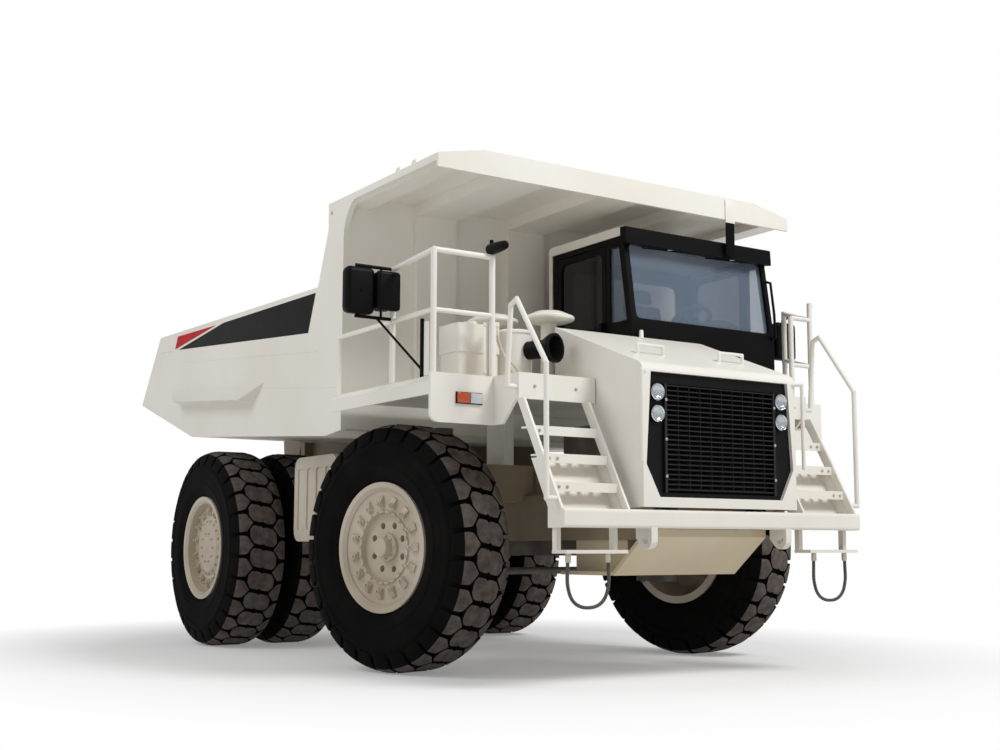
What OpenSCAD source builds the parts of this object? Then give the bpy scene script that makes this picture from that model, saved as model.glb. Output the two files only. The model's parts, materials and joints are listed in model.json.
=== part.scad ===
// Rigid mining dump truck: two axles, twin rear wheels, half-width cab on the left,
// bonnet with a wide grille, ladders each side, tipping body with a canopy over the cab.
// Forward is +X, the truck's left is +Y, up is +Z. Standing on the ground with the
// front wheels turned a little to the left. X is measured from the front axle, and
// here() moves the whole truck so that its length is centred.

/* [Running gear] */
// Distance between the axles
wheelbase = 3700; // [3500:10:3900]
// Outer diameter of every tyre, to the lug tips
tyre_d = 2040; // [1900:10:2200]
// Width of one tyre
tyre_w = 575; // [540:5:590]
// Front wheel centre from the middle
front_y = 1670; // [1650:5:1700]
// Outer rear wheel centre from the middle
rear_y = 1720; // [1710:5:1740]
// Angle at which the front wheels stand
steer_rest = 12; // [8:1:16]
// Lugs round one shoulder of a tyre
lug_count = 28; // [20:1:32]

/* [Front end] */
// Half width of the bumper
bumper_half = 1535; // [1500:5:1560]
// Height of the bumper face
bumper_h = 140; // [120:10:160]
// Half width of the bonnet
hood_half = 800; // [760:10:820]
// Space between the bonnet and each ladder
ladder_gap = 105; // [80:5:150]

/* [Body] */
// Half width of the tipping body
body_half = 1930; // [1900:5:1960]
// Height of the body's side at its front
side_h = 1395; // [1300:5:1500]
// Height of the canopy's top above the cab roof
canopy_rise = 393; // [330:1:450]
// Thickness of the body's plates
plate = 50; // [40:5:60]

/* [Cab] */
// Right wall of the cab, from the middle
cab_y0 = 20; // [0:10:40]
// Left wall of the cab, from the middle
cab_y1 = 1720; // [1680:10:1760]
// Height of the cab roof above the deck
cab_h = 1500; // [1400:10:1600]
// Length of the cab at its floor
cab_len = 1165; // [1100:5:1250]
// How far the windscreen leans back between its sill and the roof
lean_back = 115; // [60:5:150]

/* [Hidden] */
hub_z = tyre_d / 2;
deck_z = tyre_d + 280;
roof_z = deck_z + cab_h;
floor_z = tyre_d - 45;
rail_z = floor_z + side_h;
canopy_z = roof_z + canopy_rise;
frame_lo = hub_z + 60;
frame_hi = hub_z + 450;
bumper_x = 2180;
bumper_lo = hub_z + 140;
bumper_top = bumper_lo + bumper_h;
cab_x0 = -120;
cab_x1 = cab_x0 + cab_len;
roof_x = cab_x1 - lean_back;
deck_x0 = cab_x0 - 330;
deck_x1 = cab_x1 + 205;
land_x = deck_x1 + 350;
land_y = bumper_half;
ladder_w = land_y - 40 - hood_half - ladder_gap;
hook_y = land_y - 835;
step_y = land_y - 305;
deck_half = land_y + 565;
post_y = deck_half - 55;
mirror_x = deck_x1 - 705;
hood_x = cab_x1 + 5;
hood_rise = 505;
lip_x = cab_x1 + 5;
lip_h = 203;
rib_h = 163;
rib_half = 210;
bend_y = body_half - 430;
rib_at = [-bend_y + 500, 0, bend_y - 500];
drum = [900, -1110];
drum_r = 150;
handle_x = bumper_x + 55;
rear_x = -wheelbase;
head_x = deck_x0 - 190;
kick_x = rear_x - 530;
tail_x = rear_x - 2250;
kick_rise = 237;
tail_rise = 498;
ax = -(handle_x + tail_x) / 2;
rim_seat = 500;
king_out = 420;
kp_y = front_y - king_out;
arm_x = -280;
dual = 680;
piv_x = rear_x - 900;
piv_z = hub_z + 730;
lo_x = rear_x + 1460;
lo_z = hub_z - 270;
up_x = rear_x + 1100;
up_z = floor_z + 5;
hoist_y = 210;
hoist_len = sqrt((up_x - lo_x) * (up_x - lo_x) + (up_z - lo_z) * (up_z - lo_z));
hoist_ang = atan2(up_z - lo_z, lo_x - up_x);
wall = 50;
dx0 = cab_x0 + 70;
dx1 = cab_x1 - 355;
dz0 = deck_z + 100;
dz1 = roof_z - 130;
sill_z = deck_z + 660;
seat_gap = 0.2;
paint = "#ece6d8";
black = "#1c1c1e";
grey = "#6a6a6c";
dark = "#2a2a2c";
rubber = "#222224";
glass = "#7f9aa6";

// Points along an arc, and a rectangle with rounded corners
function arc(c, r, a0, a1, n = 4) =
  [for (i = [0 : n]) c + r * [cos(a0 + (a1 - a0) * i / n), sin(a0 + (a1 - a0) * i / n)]];
function rounded(u0, u1, v0, v1, r, n = 3) = concat(
  arc([u1 - r, v1 - r], r, 0, 90, n), arc([u0 + r, v1 - r], r, 90, 180, n),
  arc([u0 + r, v0 + r], r, 180, 270, n), arc([u1 - r, v0 + r], r, 270, 360, n));

// Underside of the body floor at any X
function under(x) = x > kick_x
  ? floor_z + kick_rise * (x - head_x) / (kick_x - head_x)
  : floor_z + kick_rise + tail_rise * (x - kick_x) / (tail_x - kick_x);

// A box between limits, profiles drawn from the side and from the front, a mirrored pair
module box(x0, x1, y0, y1, z0, z1) {
  translate([x0, y0, z0]) cube([x1 - x0, y1 - y0, z1 - z0]);
}
module prof(pts, y0, y1) {
  translate([0, y1, 0]) rotate([90, 0, 0]) linear_extrude(height = y1 - y0) polygon(pts);
}
module front_prof(pts, x0, x1) {
  translate([x0, 0, 0]) rotate([90, 0, 90]) linear_extrude(height = x1 - x0) polygon(pts);
}
module both() {
  children();
  mirror([0, 1, 0]) children();
}
module here() {
  translate([ax, 0, 0]) children();
}

// Round bars, bent tubes with a ball at each bend, and cylinders across the truck
module bar(p, q, r) {
  v = q - p;
  l = norm(v);
  b = acos(v[2] / l);
  c = atan2(v[1], v[0]);
  translate(p) rotate([0, b, c]) cylinder(h = l, r = r, $fn = 20);
}
module pipe(pts, r) {
  for (i = [0 : len(pts) - 2]) bar(pts[i], pts[i + 1], r);
  for (i = [1 : len(pts) - 2]) translate(pts[i]) sphere(r = r * 1.03, $fn = 20);
}
module ycyl(x, y0, y1, z, r, f = 32) {
  translate([x, y1, z]) rotate([90, 0, 0]) cylinder(h = y1 - y0, r = r, $fn = f);
}

// Places: a turned front knuckle, a wheel with its axis pointing outwards, the rear axle
module on_knuckle(s) {
  translate([0, s * kp_y, 0]) rotate([0, 0, steer_rest]) children();
}
module spun(y, s) {
  translate([0, s * y, hub_z]) rotate([-90 * s, 0, 0]) children();
}
module at_rear(s) {
  translate([ax + rear_x, 0, 0]) spun(rear_y, s) children();
}

// Two deep rails with cross members, arched over the rear axle; plates at the tail carry
// the body's pivot, collars at the front hold the struts, lugs below hold the hoists
module frame_rails() color(paint) here() {
  end_x = rear_x - 1000;
  both() {
    prof([[end_x, frame_lo], [rear_x - 500, frame_lo], [rear_x - 400, frame_lo + 180],
      [rear_x + 400, frame_lo + 180], [rear_x + 500, frame_lo], [1850, frame_lo], [1925, frame_lo + 60],
      [1925, frame_hi], [end_x, frame_hi]], 380, 500);
    difference() {
      prof(concat([[piv_x - 160, frame_hi], [piv_x - 160, frame_lo], [piv_x + 200, frame_lo],
        [piv_x + 200, frame_hi]], arc([piv_x, piv_z], 100, 20, 160, 8)), 380, 500);
      ycyl(piv_x, 300, 600, piv_z, 60.05);
    }
    difference() {
      union() {
        box(-140, 140, 490, kp_y - 50, frame_hi - 50, frame_hi + 270);
        box(-140, 140, 390, 500, frame_hi - 10, frame_hi + 270);
        translate([0, kp_y, frame_hi - 50]) cylinder(h = 320, r = 125, $fn = 40);
      }
      translate([0, kp_y, frame_hi - 60]) cylinder(h = 340, r = 95.1, $fn = 40);
    }
    difference() {
      prof(concat([[lo_x + 140, frame_lo + 10], [lo_x - 140, frame_lo + 10]],
        arc([lo_x, lo_z], 90, 190, 350, 8)), 380, 460);
      ycyl(lo_x, 300, 600, lo_z, 50.05);
    }
  }
  for (m = [[-1340, -1140, 120, 320], [1700, 1900, 70, 270], [end_x, end_x + 250, 20, 270],
    [lo_x + 260, lo_x + 410, 170, 370]])
    box(m[0], m[1], -390, 390, frame_lo + m[2], frame_lo + m[3]);
}

// Full-width channel bumper with closed ends and rounded edges; two tow plates hang below,
// each with a round hole for a pin
module front_bumper() color(paint) here() {
  back = bumper_x - 205;
  r = 25;
  difference() {
    prof(concat([[back, bumper_top], [back, bumper_lo]], arc([bumper_x - r, bumper_lo + r], r, -90, 0),
      arc([bumper_x - r, bumper_top - r], r, 0, 90)), -bumper_half, bumper_half);
    box(back - 10, bumper_x - 30, -bumper_half + 20, bumper_half - 20, bumper_lo - 10, bumper_top - 20);
  }
  both() difference() {
    prof(concat([[bumper_x - 5, bumper_lo + 10], [back + 15, bumper_lo + 10], [back + 15, bumper_lo - 70]],
      arc([bumper_x - 80, bumper_lo - 80], 75, 215, 360, 8)), hook_y - 30, hook_y + 30);
    ycyl(bumper_x - 80, hook_y - 100, hook_y + 100, bumper_lo - 80, 35);
  }
  both() box(1925 + seat_gap, bumper_x - 20, 400, 480, bumper_lo + 5, bumper_top - 15);
}

// Sloping plate that guards the engine's underside, creased where it turns level
module belly_guard() color(paint) here() {
  prof([[1975, hub_z + 140], [1975, hub_z + 80], [1600, hub_z - 220], [900, hub_z - 220], [900, hub_z - 190],
    [1590, hub_z - 190], [1930, hub_z + 85], [1930, hub_z + 140]], -640, 640);
  both() box(900, 1580, 400, 480, hub_z - 192, frame_lo - seat_gap);
}

// Step plates under the bumper's ends on two hangers each, with slots for grip
module lower_steps() color(paint) here() both() {
  top = hub_z - 19;
  for (y = [step_y - 280, step_y + 240])
    box(1995, 2045, y, y + 40, top - 1, bumper_top - 20 - seat_gap);
  difference() {
    box(1990, 2170, step_y - 280, step_y + 280, top - 26, top);
    for (i = [0 : 3])
      box(2120, 2150, step_y - 255 + i * 130, step_y - 145 + i * 130, top - 40, top + 10);
  }
}

// Bent rope stirrups below the step plates
module step_stirrups() color(black) here() both() {
  top = hub_z - 45 - seat_gap;
  c = step_y + 25;
  half = [[180, 0], [185, -230], [140, -335], [60, -385]];
  pipe(concat([for (p = half) [2085, c + p[0], top + p[1]]],
    [for (i = [3 : -1 : 0]) [2085, c - half[i][0], top + half[i][1]]]), 14);
}

// Rear edge of a ladder's stringers at any height
function lean(z) = 2055 + (land_x - 2080) * (z - bumper_top) / (deck_z - 180 - bumper_top);

// Inclined ladders from the bumper to the decks: two stringers, three angle treads with
// grip slots, and a kick plate behind the lower half
module ladders() color(paint) here() both() {
  a = land_y - 20 - ladder_w;
  b = land_y - 20;
  pitch = (ladder_w - 50) / 5;
  foot = bumper_top;
  head = deck_z - 180 - seat_gap;
  for (y = [a - 20, b])
    prof([[lean(foot), foot], [lean(foot) + 90, foot], [lean(head) + 90, head], [lean(head), head]],
      y, y + 20);
  for (i = [0 : 2]) {
    z = foot + (head - foot) * (0.23 + 0.255 * i);
    nose = lean(z) + 80;
    difference() {
      prof([[nose, z], [nose, z - 70], [nose - 12, z - 70], [nose - 12, z - 14], [nose - 170, z - 14],
        [nose - 170, z]], a - 2, b + 2);
      for (k = [0 : 4])
        box(nose - 140, nose - 60, a + 45 + k * pitch, a + 45 + (k + 0.65) * pitch, z - 30, z + 10);
    }
  }
  prof([[lean(foot) - 100, foot], [lean(foot) - 88, foot], [lean(foot + 380) - 88, foot + 380],
    [lean(foot + 380) - 100, foot + 380]], a - 2, b + 2);
  for (y = [a - 2, b - 10])
    prof([[lean(foot) - 90, foot], [lean(foot) + 10, foot], [lean(foot + 380) + 10, foot + 380],
      [lean(foot + 380) - 90, foot + 380]], y, y + 12);
}

// Looped tube handrails standing outside the ladders
module ladder_handrails() color(paint) here() both() {
  y = land_y + 85;
  low = bumper_top + 70;
  pipe([[2080, land_y + seat_gap, low], [2080, y, low], [2080, y, deck_z + 30], [1700, y, deck_z + 555],
    [1620, y, deck_z + 520], [1570, y, deck_z - 90], [1570, land_y + seat_gap, deck_z - 90]], 20);
}

// One deck, drawn for the right: plate, turned-down apron with a rounded corner, ladder
// landing, folded edge along the outside, and a post on the strut collar
module deck() {
  in = hood_half + 10;
  box(deck_x0, deck_x1, -deck_half + 40, -0.1, deck_z - 60, deck_z);
  box(deck_x1 - 10, land_x, -land_y, -in, deck_z - 60, deck_z);
  front_prof(concat([[-land_y + 20, deck_z + 20], [-deck_half, deck_z + 20]],
    arc([-deck_half + 70, deck_z - 290], 70, 180, 270), [[-land_y + 20, deck_z - 360]]),
    deck_x1 - 30, deck_x1);
  box(land_x - 30, land_x, -land_y, -in, deck_z - 180, deck_z + 20);
  prof([[deck_x1 - 30, deck_z - 360], [deck_x1 + 120, deck_z - 360], [land_x - 40, deck_z - 180],
    [land_x, deck_z - 180], [land_x, deck_z + 20], [deck_x1 - 30, deck_z + 20]], -land_y, -land_y + 25);
  front_prof([[-deck_half + 45, deck_z], [-deck_half, deck_z - 45], [-deck_half, deck_z - 150],
    [-deck_half + 12, deck_z - 150], [-deck_half + 12, deck_z - 50], [-deck_half + 50, deck_z - 12]],
    deck_x0, deck_x1 - 20);
  box(-140, 140, -700, -600, frame_hi + 270 + seat_gap, deck_z - 55);
}
module deck_right() color(paint) here() deck();

// Left deck, which carries the cab
module deck_left() color(paint) here() mirror([0, 1, 0]) deck();

// Tube rails round the outer edge of each deck; the left side is lower at the front, where
// the corner post carries two gussets
module deck_handrails() color(paint) here() {
  f = deck_x1 - 60;
  y = post_y;
  for (p = [[f, -land_y + 25, 990], [f, -y, 990], [mirror_x, -y, 950], [deck_x0 + 40, -y, 510]])
    bar([p[0], p[1], deck_z], [p[0], p[1], deck_z + p[2]], 24);
  pipe([[f, -land_y + 25, deck_z + 980], [f, -y, deck_z + 980], [mirror_x, -y, deck_z + 930]], 22);
  pipe([[f, -land_y + 25, deck_z + 510], [f, -y, deck_z + 510], [deck_x0 + 40, -y, deck_z + 500]], 20);
  for (p = [[f, y, 980], [f, y - 250, 830], [deck_x1 - 390, y, 950]])
    bar([p[0], p[1], deck_z], [p[0], p[1], deck_z + p[2]], 24);
  pipe([[f, y - 250, deck_z + 820], [f, y, deck_z + 820], [deck_x1 - 390, y, deck_z + 930]], 22);
  pipe([[f, y - 250, deck_z + 380], [f, y, deck_z + 380], [deck_x1 - 390, y, deck_z + 480]], 20);
  for (z = [deck_z + 430, deck_z + 900])
    front_prof([[y + 5, z], [y + 55, z + 60], [y + 5, z + 90]], f - 6, f + 6);
}

// Opening in the bonnet's front, which the grille fills
function mouth() = [[-720, deck_z + 25], [720, deck_z + 25], [hood_half - 30, bumper_top + 340],
  [640, bumper_top + 95], [-640, bumper_top + 95], [-hood_half + 30, bumper_top + 340]];

// Bonnet shell: sloping top with a rolled nose, side panels, a collar round the grille,
// two grab loops on top and a grab handle at each side of the front
module hood() color(paint) here() {
  nose = bumper_x - 5;
  difference() {
    prof(concat([[hood_x, deck_z], [hood_x, deck_z + hood_rise]],
      arc([nose - 90, deck_z + 20], 90, 72, 0, 5), [[nose, bumper_top + 20], [1960, bumper_top + 10],
      [1480, deck_z - 200], [1480, deck_z]]), -hood_half, hood_half);
    prof([[hood_x - 85, deck_z - 120], [hood_x - 85, deck_z + hood_rise - 5], [nose - 65, deck_z + 70],
      [nose - 35, deck_z + 25], [nose - 35, bumper_top - 100], [1400, bumper_top - 100]],
      -hood_half + 30, hood_half - 30);
    front_prof(mouth(), nose - 75, nose + 50);
  }
  slope = (105 - hood_rise) / (nose - 62 - hood_x);
  for (y = [-430, 430]) {
    x = nose - 350;
    z = deck_z + hood_rise + slope * (x - hood_x);
    pipe([[x, y - 130, z - 10], [x, y - 130, z + 75], [x, y + 130, z + 75], [x, y + 130, z - 10]], 14);
  }
  both() pipe([[nose - 20, hood_half - 40, deck_z + 20], [handle_x - 16, hood_half + 45, deck_z + 20],
    [handle_x - 16, hood_half + 45, bumper_top + 360], [nose - 20, hood_half - 20, bumper_top + 350]], 16);
}

// Black grille: a framed panel with an open window, slanted blades across it, thin upright
// wires and a raised strip down each side
module grille() color(black) here() {
  w = 560;
  blades = 22;
  lo = bumper_top + 130;
  hi = deck_z - 60;
  pitch = (hi - lo) / blades;
  difference() {
    front_prof(mouth(), bumper_x - 75, bumper_x - 35);
    box(bumper_x - 100, bumper_x, -w, w, lo, hi);
  }
  for (i = [0 : blades - 1]) {
    z = lo + i * pitch;
    prof([[bumper_x - 70, z + 3], [bumper_x - 14, z + 21], [bumper_x - 14, z + 28], [bumper_x - 70, z + 10]],
      -w - 5, w + 5);
  }
  for (y = [-4 : 4]) box(bumper_x - 50, bumper_x - 44, y * 112 - 3, y * 112 + 3, lo - 5, hi + 5);
  both() box(bumper_x - 40, bumper_x - 10, w, w + 20, lo, hi);
}

// One round lamp facing forward: a bezel ring with a domed lens inside
module round_lamp(x, y, z, r) {
  translate([x, y, z]) rotate([0, 90, 0]) rotate_extrude($fn = 32)
    polygon([[0, 0], [r, 0], [r, 28], [r - 8, 34], [r - 12, 24], [r * 0.5, 31], [0, 34]]);
}

// Two round headlamps stacked on each side of the grille, turn lamps on the aprons, a work
// lamp on the right rail's front post and a tail lamp on each rail's end
module lamps() color("#c9cdd0") here() {
  both() for (z = [-130, -295]) round_lamp(bumper_x - 35 + seat_gap, 650, deck_z + z, 66);
  both() box(deck_x1 + seat_gap, deck_x1 + 26, land_y + 105, land_y + 345, deck_z - 210, deck_z - 120);
  translate([deck_x1 - 110, -land_y + 25, deck_z + 1047 + seat_gap]) rotate([0, 90, 0])
    cylinder(h = 110, r = 45, $fn = 28);
  both() box(piv_x - 200, piv_x - 160 - seat_gap, 390, 490, frame_lo + 60, frame_lo + 210);
}

// Radiator core behind the grille
module radiator() color(dark) here() {
  box(1990, bumper_x - 75, -620, 620, bumper_top + 100, deck_z - 20);
  both() box(2000, 2090, 400, 480, bumper_top, bumper_top + 110);
}

// Engine as one plain block
module engine() color(grey) here() {
  box(520, 1690, -330, 330, hub_z - 20, hub_z + 1030);
  both() box(800, 1500, 320, 380 - seat_gap, frame_lo + 120, frame_lo + 320);
}

// Gearbox behind the engine
module transmission() color(grey) here() {
  box(-620, 520 - seat_gap, -280, 280, hub_z - 70, hub_z + 400);
  ycyl(-250, -380 + seat_gap, 380 - seat_gap, hub_z + 230, 60);
}

// Drive shaft from the gearbox to the rear axle, with a joint cup at its front
module driveshaft() color(grey) here() {
  bar([-620 - seat_gap, 0, hub_z + 10], [rear_x + 450 + seat_gap, 0, hub_z + 10], 55);
  bar([-640, 0, hub_z + 10], [-770, 0, hub_z + 10], 85);
}

// Fuel tank hung from the right rail between the wheels: rounded section, pressed panels
module fuel_tank() color(paint) here() {
  x0 = rear_x + hub_z + 350;
  x1 = -hub_z - 380;
  w = (x1 - x0 - 120) / 4;
  difference() {
    prof(rounded(x0, x1, frame_lo, frame_lo + 820, 110, 5), -1560, -780);
    for (i = [0 : 3])
      prof(rounded(x0 + 75 + i * w, x0 + 45 + (i + 1) * w, frame_lo + 110, frame_lo + 710, 30, 2),
        -1600, -1545);
  }
  for (x = [x0 + 130, x1 - 230])
    box(x, x + 100, -790, -500 - seat_gap, frame_lo + 120, frame_lo + 380);
  translate([x1 - 160, -1300, frame_lo + 810]) cylinder(h = 60, r = 60, $fn = 24);
}

// Hydraulic oil tank on the left rail
module hydraulic_tank() color(paint) here() {
  x0 = rear_x + hub_z + 350;
  x1 = -hub_z - 430;
  prof(rounded(x0, x1, frame_lo + 70, frame_lo + 800, 90, 5), 780, 1500);
  for (x = [x0 + 120, x1 - 220])
    box(x, x + 100, 500 + seat_gap, 790, frame_lo + 120, frame_lo + 380);
  translate([x1 - 150, 1200, frame_lo + 790]) cylinder(h = 70, r = 70, $fn = 24);
}

// Box tank standing on the right deck with an overhanging lid and a filler cap
module deck_tank() color(paint) here() {
  translate([0, 0, deck_z]) linear_extrude(height = 460)
    polygon(rounded(700, 1000, -1700, -1320, 30));
  translate([0, 0, deck_z + 240]) linear_extrude(height = 230)
    polygon(rounded(690, 1010, -1710, -1310, 30));
  translate([850, -1500, deck_z + 465]) cylinder(h = 45, r = 55, $fn = 24);
}

// Air cleaners: two stacks with mushroom caps and a drum with a domed lid
module air_cleaner() color(paint) here() {
  for (p = [[450, -1020], [850, -720]]) translate([p[0], p[1], deck_z]) rotate_extrude($fn = 40)
    polygon(concat([[0, 0], [70, 0], [70, 560], [150, 575]], arc([195, 612], 22, -70, 90),
      [[120, 668], [0, 680]]));
  translate([drum[0], drum[1], deck_z]) rotate_extrude($fn = 40)
    polygon([[0, 0], [drum_r, 0], [drum_r, 430], [drum_r + 8, 432], [drum_r + 8, 448],
      [drum_r - 10, 462], [0, 475]]);
}

// Black intake hose with a flared cup, set square on the drum's side
module intake_hose() color(black) here() {
  translate([drum[0], drum[1], deck_z + 290]) rotate([0, 90, 20]) translate([0, 0, drum_r + seat_gap])
    rotate_extrude($fn = 32)
      polygon([[0, 0], [75, 0], [75, 150], [120, 240], [120, 270], [100, 270], [60, 170], [0, 170]]);
}

// One mirror head: a shallow box with rounded corners, seen from the front
module mirror_head(x, y0, y1, z0, z1) {
  front_prof(rounded(min(y0, y1), max(y0, y1), z0, z1, 45), x - 35, x + 35);
}

// Mirrors on tube arms: a pair outside the right rail with a brace down to the deck, and one
// ahead of the left door
module mirrors() color(black) here() {
  x = mirror_x;
  z = deck_z + 540;
  out = -post_y - 190;
  mirror_head(x, out - 245, out, z, z + 370);
  mirror_head(x, out + 8, out + 150, z + 40, z + 350);
  for (h = [z - 20, z + 390]) bar([x, -post_y - 24 - seat_gap, h], [x, out - 150, h], 14);
  bar([x, out - 125, z - 20], [x, out - 125, z + 390], 10);
  bar([x, out + 80, z - 20], [x, out + 80, z + 390], 10);
  foot = [deck_x1 - 230, -post_y, deck_z + seat_gap];
  bar(foot, foot + [0, 0, 460], 16);
  bar(foot + [0, 0, 60], [x, -post_y - 150, z - 20], 10);
  l = deck_x1 - 390;
  mirror_head(x, post_y + 175, post_y + 435, z, z + 370);
  for (h = [z - 20, z + 390]) {
    bar([l, post_y + 24 + seat_gap, h], [l, post_y + 90, h], 14);
    translate([l, post_y + 90, h]) sphere(r = 15, $fn = 20);
    bar([l, post_y + 90, h], [x, post_y + 305, h], 14);
  }
  bar([x, post_y + 305, z - 34], [x, post_y + 305, z + 404], 16);
}

// Cab floor pan on the left deck
module cab_floor() color(dark) here() {
  box(cab_x0, cab_x1, cab_y0, cab_y1, deck_z, deck_z + 60);
}

// Outer face of the windscreen wall at any height, and the outlines of the cab's windows
function face_x(z) = cab_x1 - lean_back * max(0, z - sill_z) / (roof_z - 80 - sill_z);
function screen() = rounded(cab_y0 + 55, cab_y1 - 55, sill_z + 15, roof_z - 150, 40, 2);
function back_light() = rounded(cab_y0 + 200, cab_y1 - 200, sill_z - 30, roof_z - 220, 60, 2);
function quarter() = [[dx1 + 50, sill_z], [face_x(sill_z) - 70, sill_z],
  [face_x(roof_z - 170) - 70, roof_z - 170], [dx1 + 50, roof_z - 170]];
function door_light() = rounded(dx0 + 60, dx1 - 60, sill_z - 20, dz1 - 60, 60, 2);

// Side view of the cab between its floor and roof, drawn in from the outside by t
function cab_side(t) = [[cab_x0 + t, deck_z + 60 - t], [cab_x1 - t, deck_z + 60 - t], [cab_x1 - t, sill_z],
  [face_x(roof_z - 80 + t) - t, roof_z - 80 + t], [cab_x0 + t, roof_z - 80 + t]];

// Cab shell: walls and posts round the door, windscreen, quarter and rear window openings,
// with a visor ahead of the leaning windscreen
module cab_frame() color(black) here() {
  difference() {
    prof(cab_side(0), cab_y0, cab_y1);
    prof(cab_side(wall), cab_y0 + wall, cab_y1 - wall);
    box(dx0, dx1, cab_y0 - 10, cab_y1 + 10, dz0, dz1);
    prof(quarter(), cab_y0 - 10, cab_y1 + 10);
    front_prof(screen(), roof_x - wall - 30, cab_x1 + 20);
    front_prof(back_light(), cab_x0 - 50, cab_x0 + wall + 50);
  }
  prof([[roof_x + 2, roof_z - 155], [roof_x + 90, roof_z - 165], [roof_x + 82, roof_z - 30],
    [roof_x + 72, roof_z - 18], [roof_x, roof_z - 12], [roof_x, roof_z - 90]], cab_y0 - 30, cab_y1 + 10);
}

// Roof with a rounded rear edge, and posts down the cab's rear corners to the deck
module cab_roof() color(paint) here() {
  r = 45;
  back = cab_x0 - 45;
  prof(concat([[back, roof_z - 80], [roof_x - seat_gap, roof_z - 80], [roof_x - seat_gap, roof_z]],
    arc([back + r, roof_z - r], r, 90, 180)), cab_y0 - 12, cab_y1 + 12);
  for (y = [cab_y0 - 12, cab_y1 - 48]) box(back, cab_x0 - seat_gap, y, y + 60, deck_z, roof_z - 70);
}

// Windscreen, quarter and rear panes set in the shell's openings
module cab_glass() color(glass) here() {
  intersection() {
    front_prof(screen(), roof_x - wall - 30, cab_x1 + 20);
    prof([[cab_x1 - 35, sill_z], [cab_x1 - 23, sill_z], [roof_x - 23, roof_z - 80],
      [roof_x - 35, roof_z - 80]], cab_y0, cab_y1);
  }
  front_prof(back_light(), cab_x0 + 19, cab_x0 + 31);
  for (y = [cab_y0 + 20, cab_y1 - 32]) prof(quarter(), y, y + 12);
}

// Seat: cushion with a rolled front, leaning back rest, head rest and pedestal
module operator_seat() color("#3a3a3c") here() {
  x = cab_x0 + 220;
  y = cab_y1 - 720;
  z = deck_z + 400;
  prof(concat([[x, z], [x, z + 130]], arc([x + 450, z + 80], 60, 90, -60, 5), [[x + 440, z]]),
    y - 250, y + 250);
  prof([[x, z + 10], [x + 80, z + 20], [x - 20, z + 640], [x - 55, z + 660], [x - 105, z + 630]],
    y - 240, y + 240);
  prof([[x - 60, z + 640], [x - 30, z + 640], [x - 40, z + 800], [x - 120, z + 800]], y - 130, y + 130);
  box(x + 120, x + 380, y - 140, y + 140, deck_z + 60, z + 5);
}

// Dash with a rounded instrument hood, column and steering wheel
module cab_controls() color(dark) here() {
  y = cab_y1 - 720;
  wheel = [cab_x1 - 340, y, deck_z + 750];
  in = cab_x1 - wall - seat_gap;
  prof([[cab_x1 - 280, deck_z + 560], [cab_x1 - 250, deck_z + 540], [in, deck_z + 540], [in, deck_z + 655],
    [cab_x1 - 230, deck_z + 645]], cab_y0 + 60, cab_y1 - 60);
  front_prof([for (a = [0 : 15 : 180]) [y + 180 + 270 * cos(a), deck_z + 645 + 130 * sin(a)]],
    cab_x1 - 300, cab_x1 - 120);
  box(cab_x1 - 220, in, y - 300, y + 300, deck_z + 60, deck_z + 550);
  bar([cab_x1 - 220, y, deck_z + 580], wheel + [-10, 0, 13], 30);
  translate(wheel) rotate([0, -41, 0]) {
    difference() {
      cylinder(h = 36, r = 215, $fn = 40);
      translate([0, 0, -5]) cylinder(h = 50, r = 180, $fn = 40);
    }
    translate([-190, -20, 6]) cube([380, 40, 24]);
  }
}

// Front suspension struts, whose lower rods are the kingpins
module front_struts() color(grey) here() both() {
  translate([0, kp_y, hub_z + 280]) cylinder(h = 740, r = 95, $fn = 40);
  translate([0, kp_y, hub_z + 80]) cylinder(h = 210, r = 70, $fn = 40);
}

// Rear axle housing: a bowl for the gears with a nose forward, and tubes to the wheel ends
module rear_axle() color(paint) translate([ax + rear_x, 0, 0]) {
  ycyl(0, -rear_y - 20, rear_y + 20, hub_z, 160, 48);
  translate([0, 0, hub_z]) rotate([0, 90, 0]) cylinder(h = 450, r1 = 330, r2 = 140, $fn = 40);
  translate([0, 0, hub_z]) sphere(r = 350, $fn = 40);
}

// Rear suspension: two struts up to brackets on the rails and a link forward each
module rear_suspension() color(grey) translate([ax + rear_x, 0, 0]) both() {
  box(-110, 110, 530, 670, hub_z + 160 + seat_gap, hub_z + 190);
  bar([0, 600, hub_z + 180], [0, 600, frame_hi - 40], 65);
  box(-90, 90, 500 + seat_gap, 670, frame_hi - 90, frame_hi - 10);
  box(160.3, 1240, 395, 470, frame_lo - 120, frame_lo - 40);
  box(1100, 1240, 395, 470, frame_lo - 120, frame_lo - seat_gap);
}

// Knuckle: kingpin sleeve, spindle and steering arm
module knuckle(s) {
  difference() {
    union() {
      translate([0, 0, hub_z - 320]) cylinder(h = 540, r = 118, $fn = 40);
      rotate([0, 0, s > 0 ? 0 : 180]) ycyl(0, 0, 560, hub_z, 110, 48);
    }
    translate([0, 0, hub_z + 70]) cylinder(h = 200, r = 70.05, $fn = 40);
  }
  translate([0, 0, hub_z - 318]) difference() {
    linear_extrude(height = 60) polygon(concat([[0, 90]], arc([arm_x, 0], 60, 90, 270, 8), [[0, -90]]));
    translate([arm_x, 0, -10]) cylinder(h = 100, r = 25.05, $fn = 24);
  }
}
module knuckle_left() color(grey) here() on_knuckle(1) knuckle(1);
module knuckle_right() color(grey) here() on_knuckle(-1) knuckle(-1);

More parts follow.
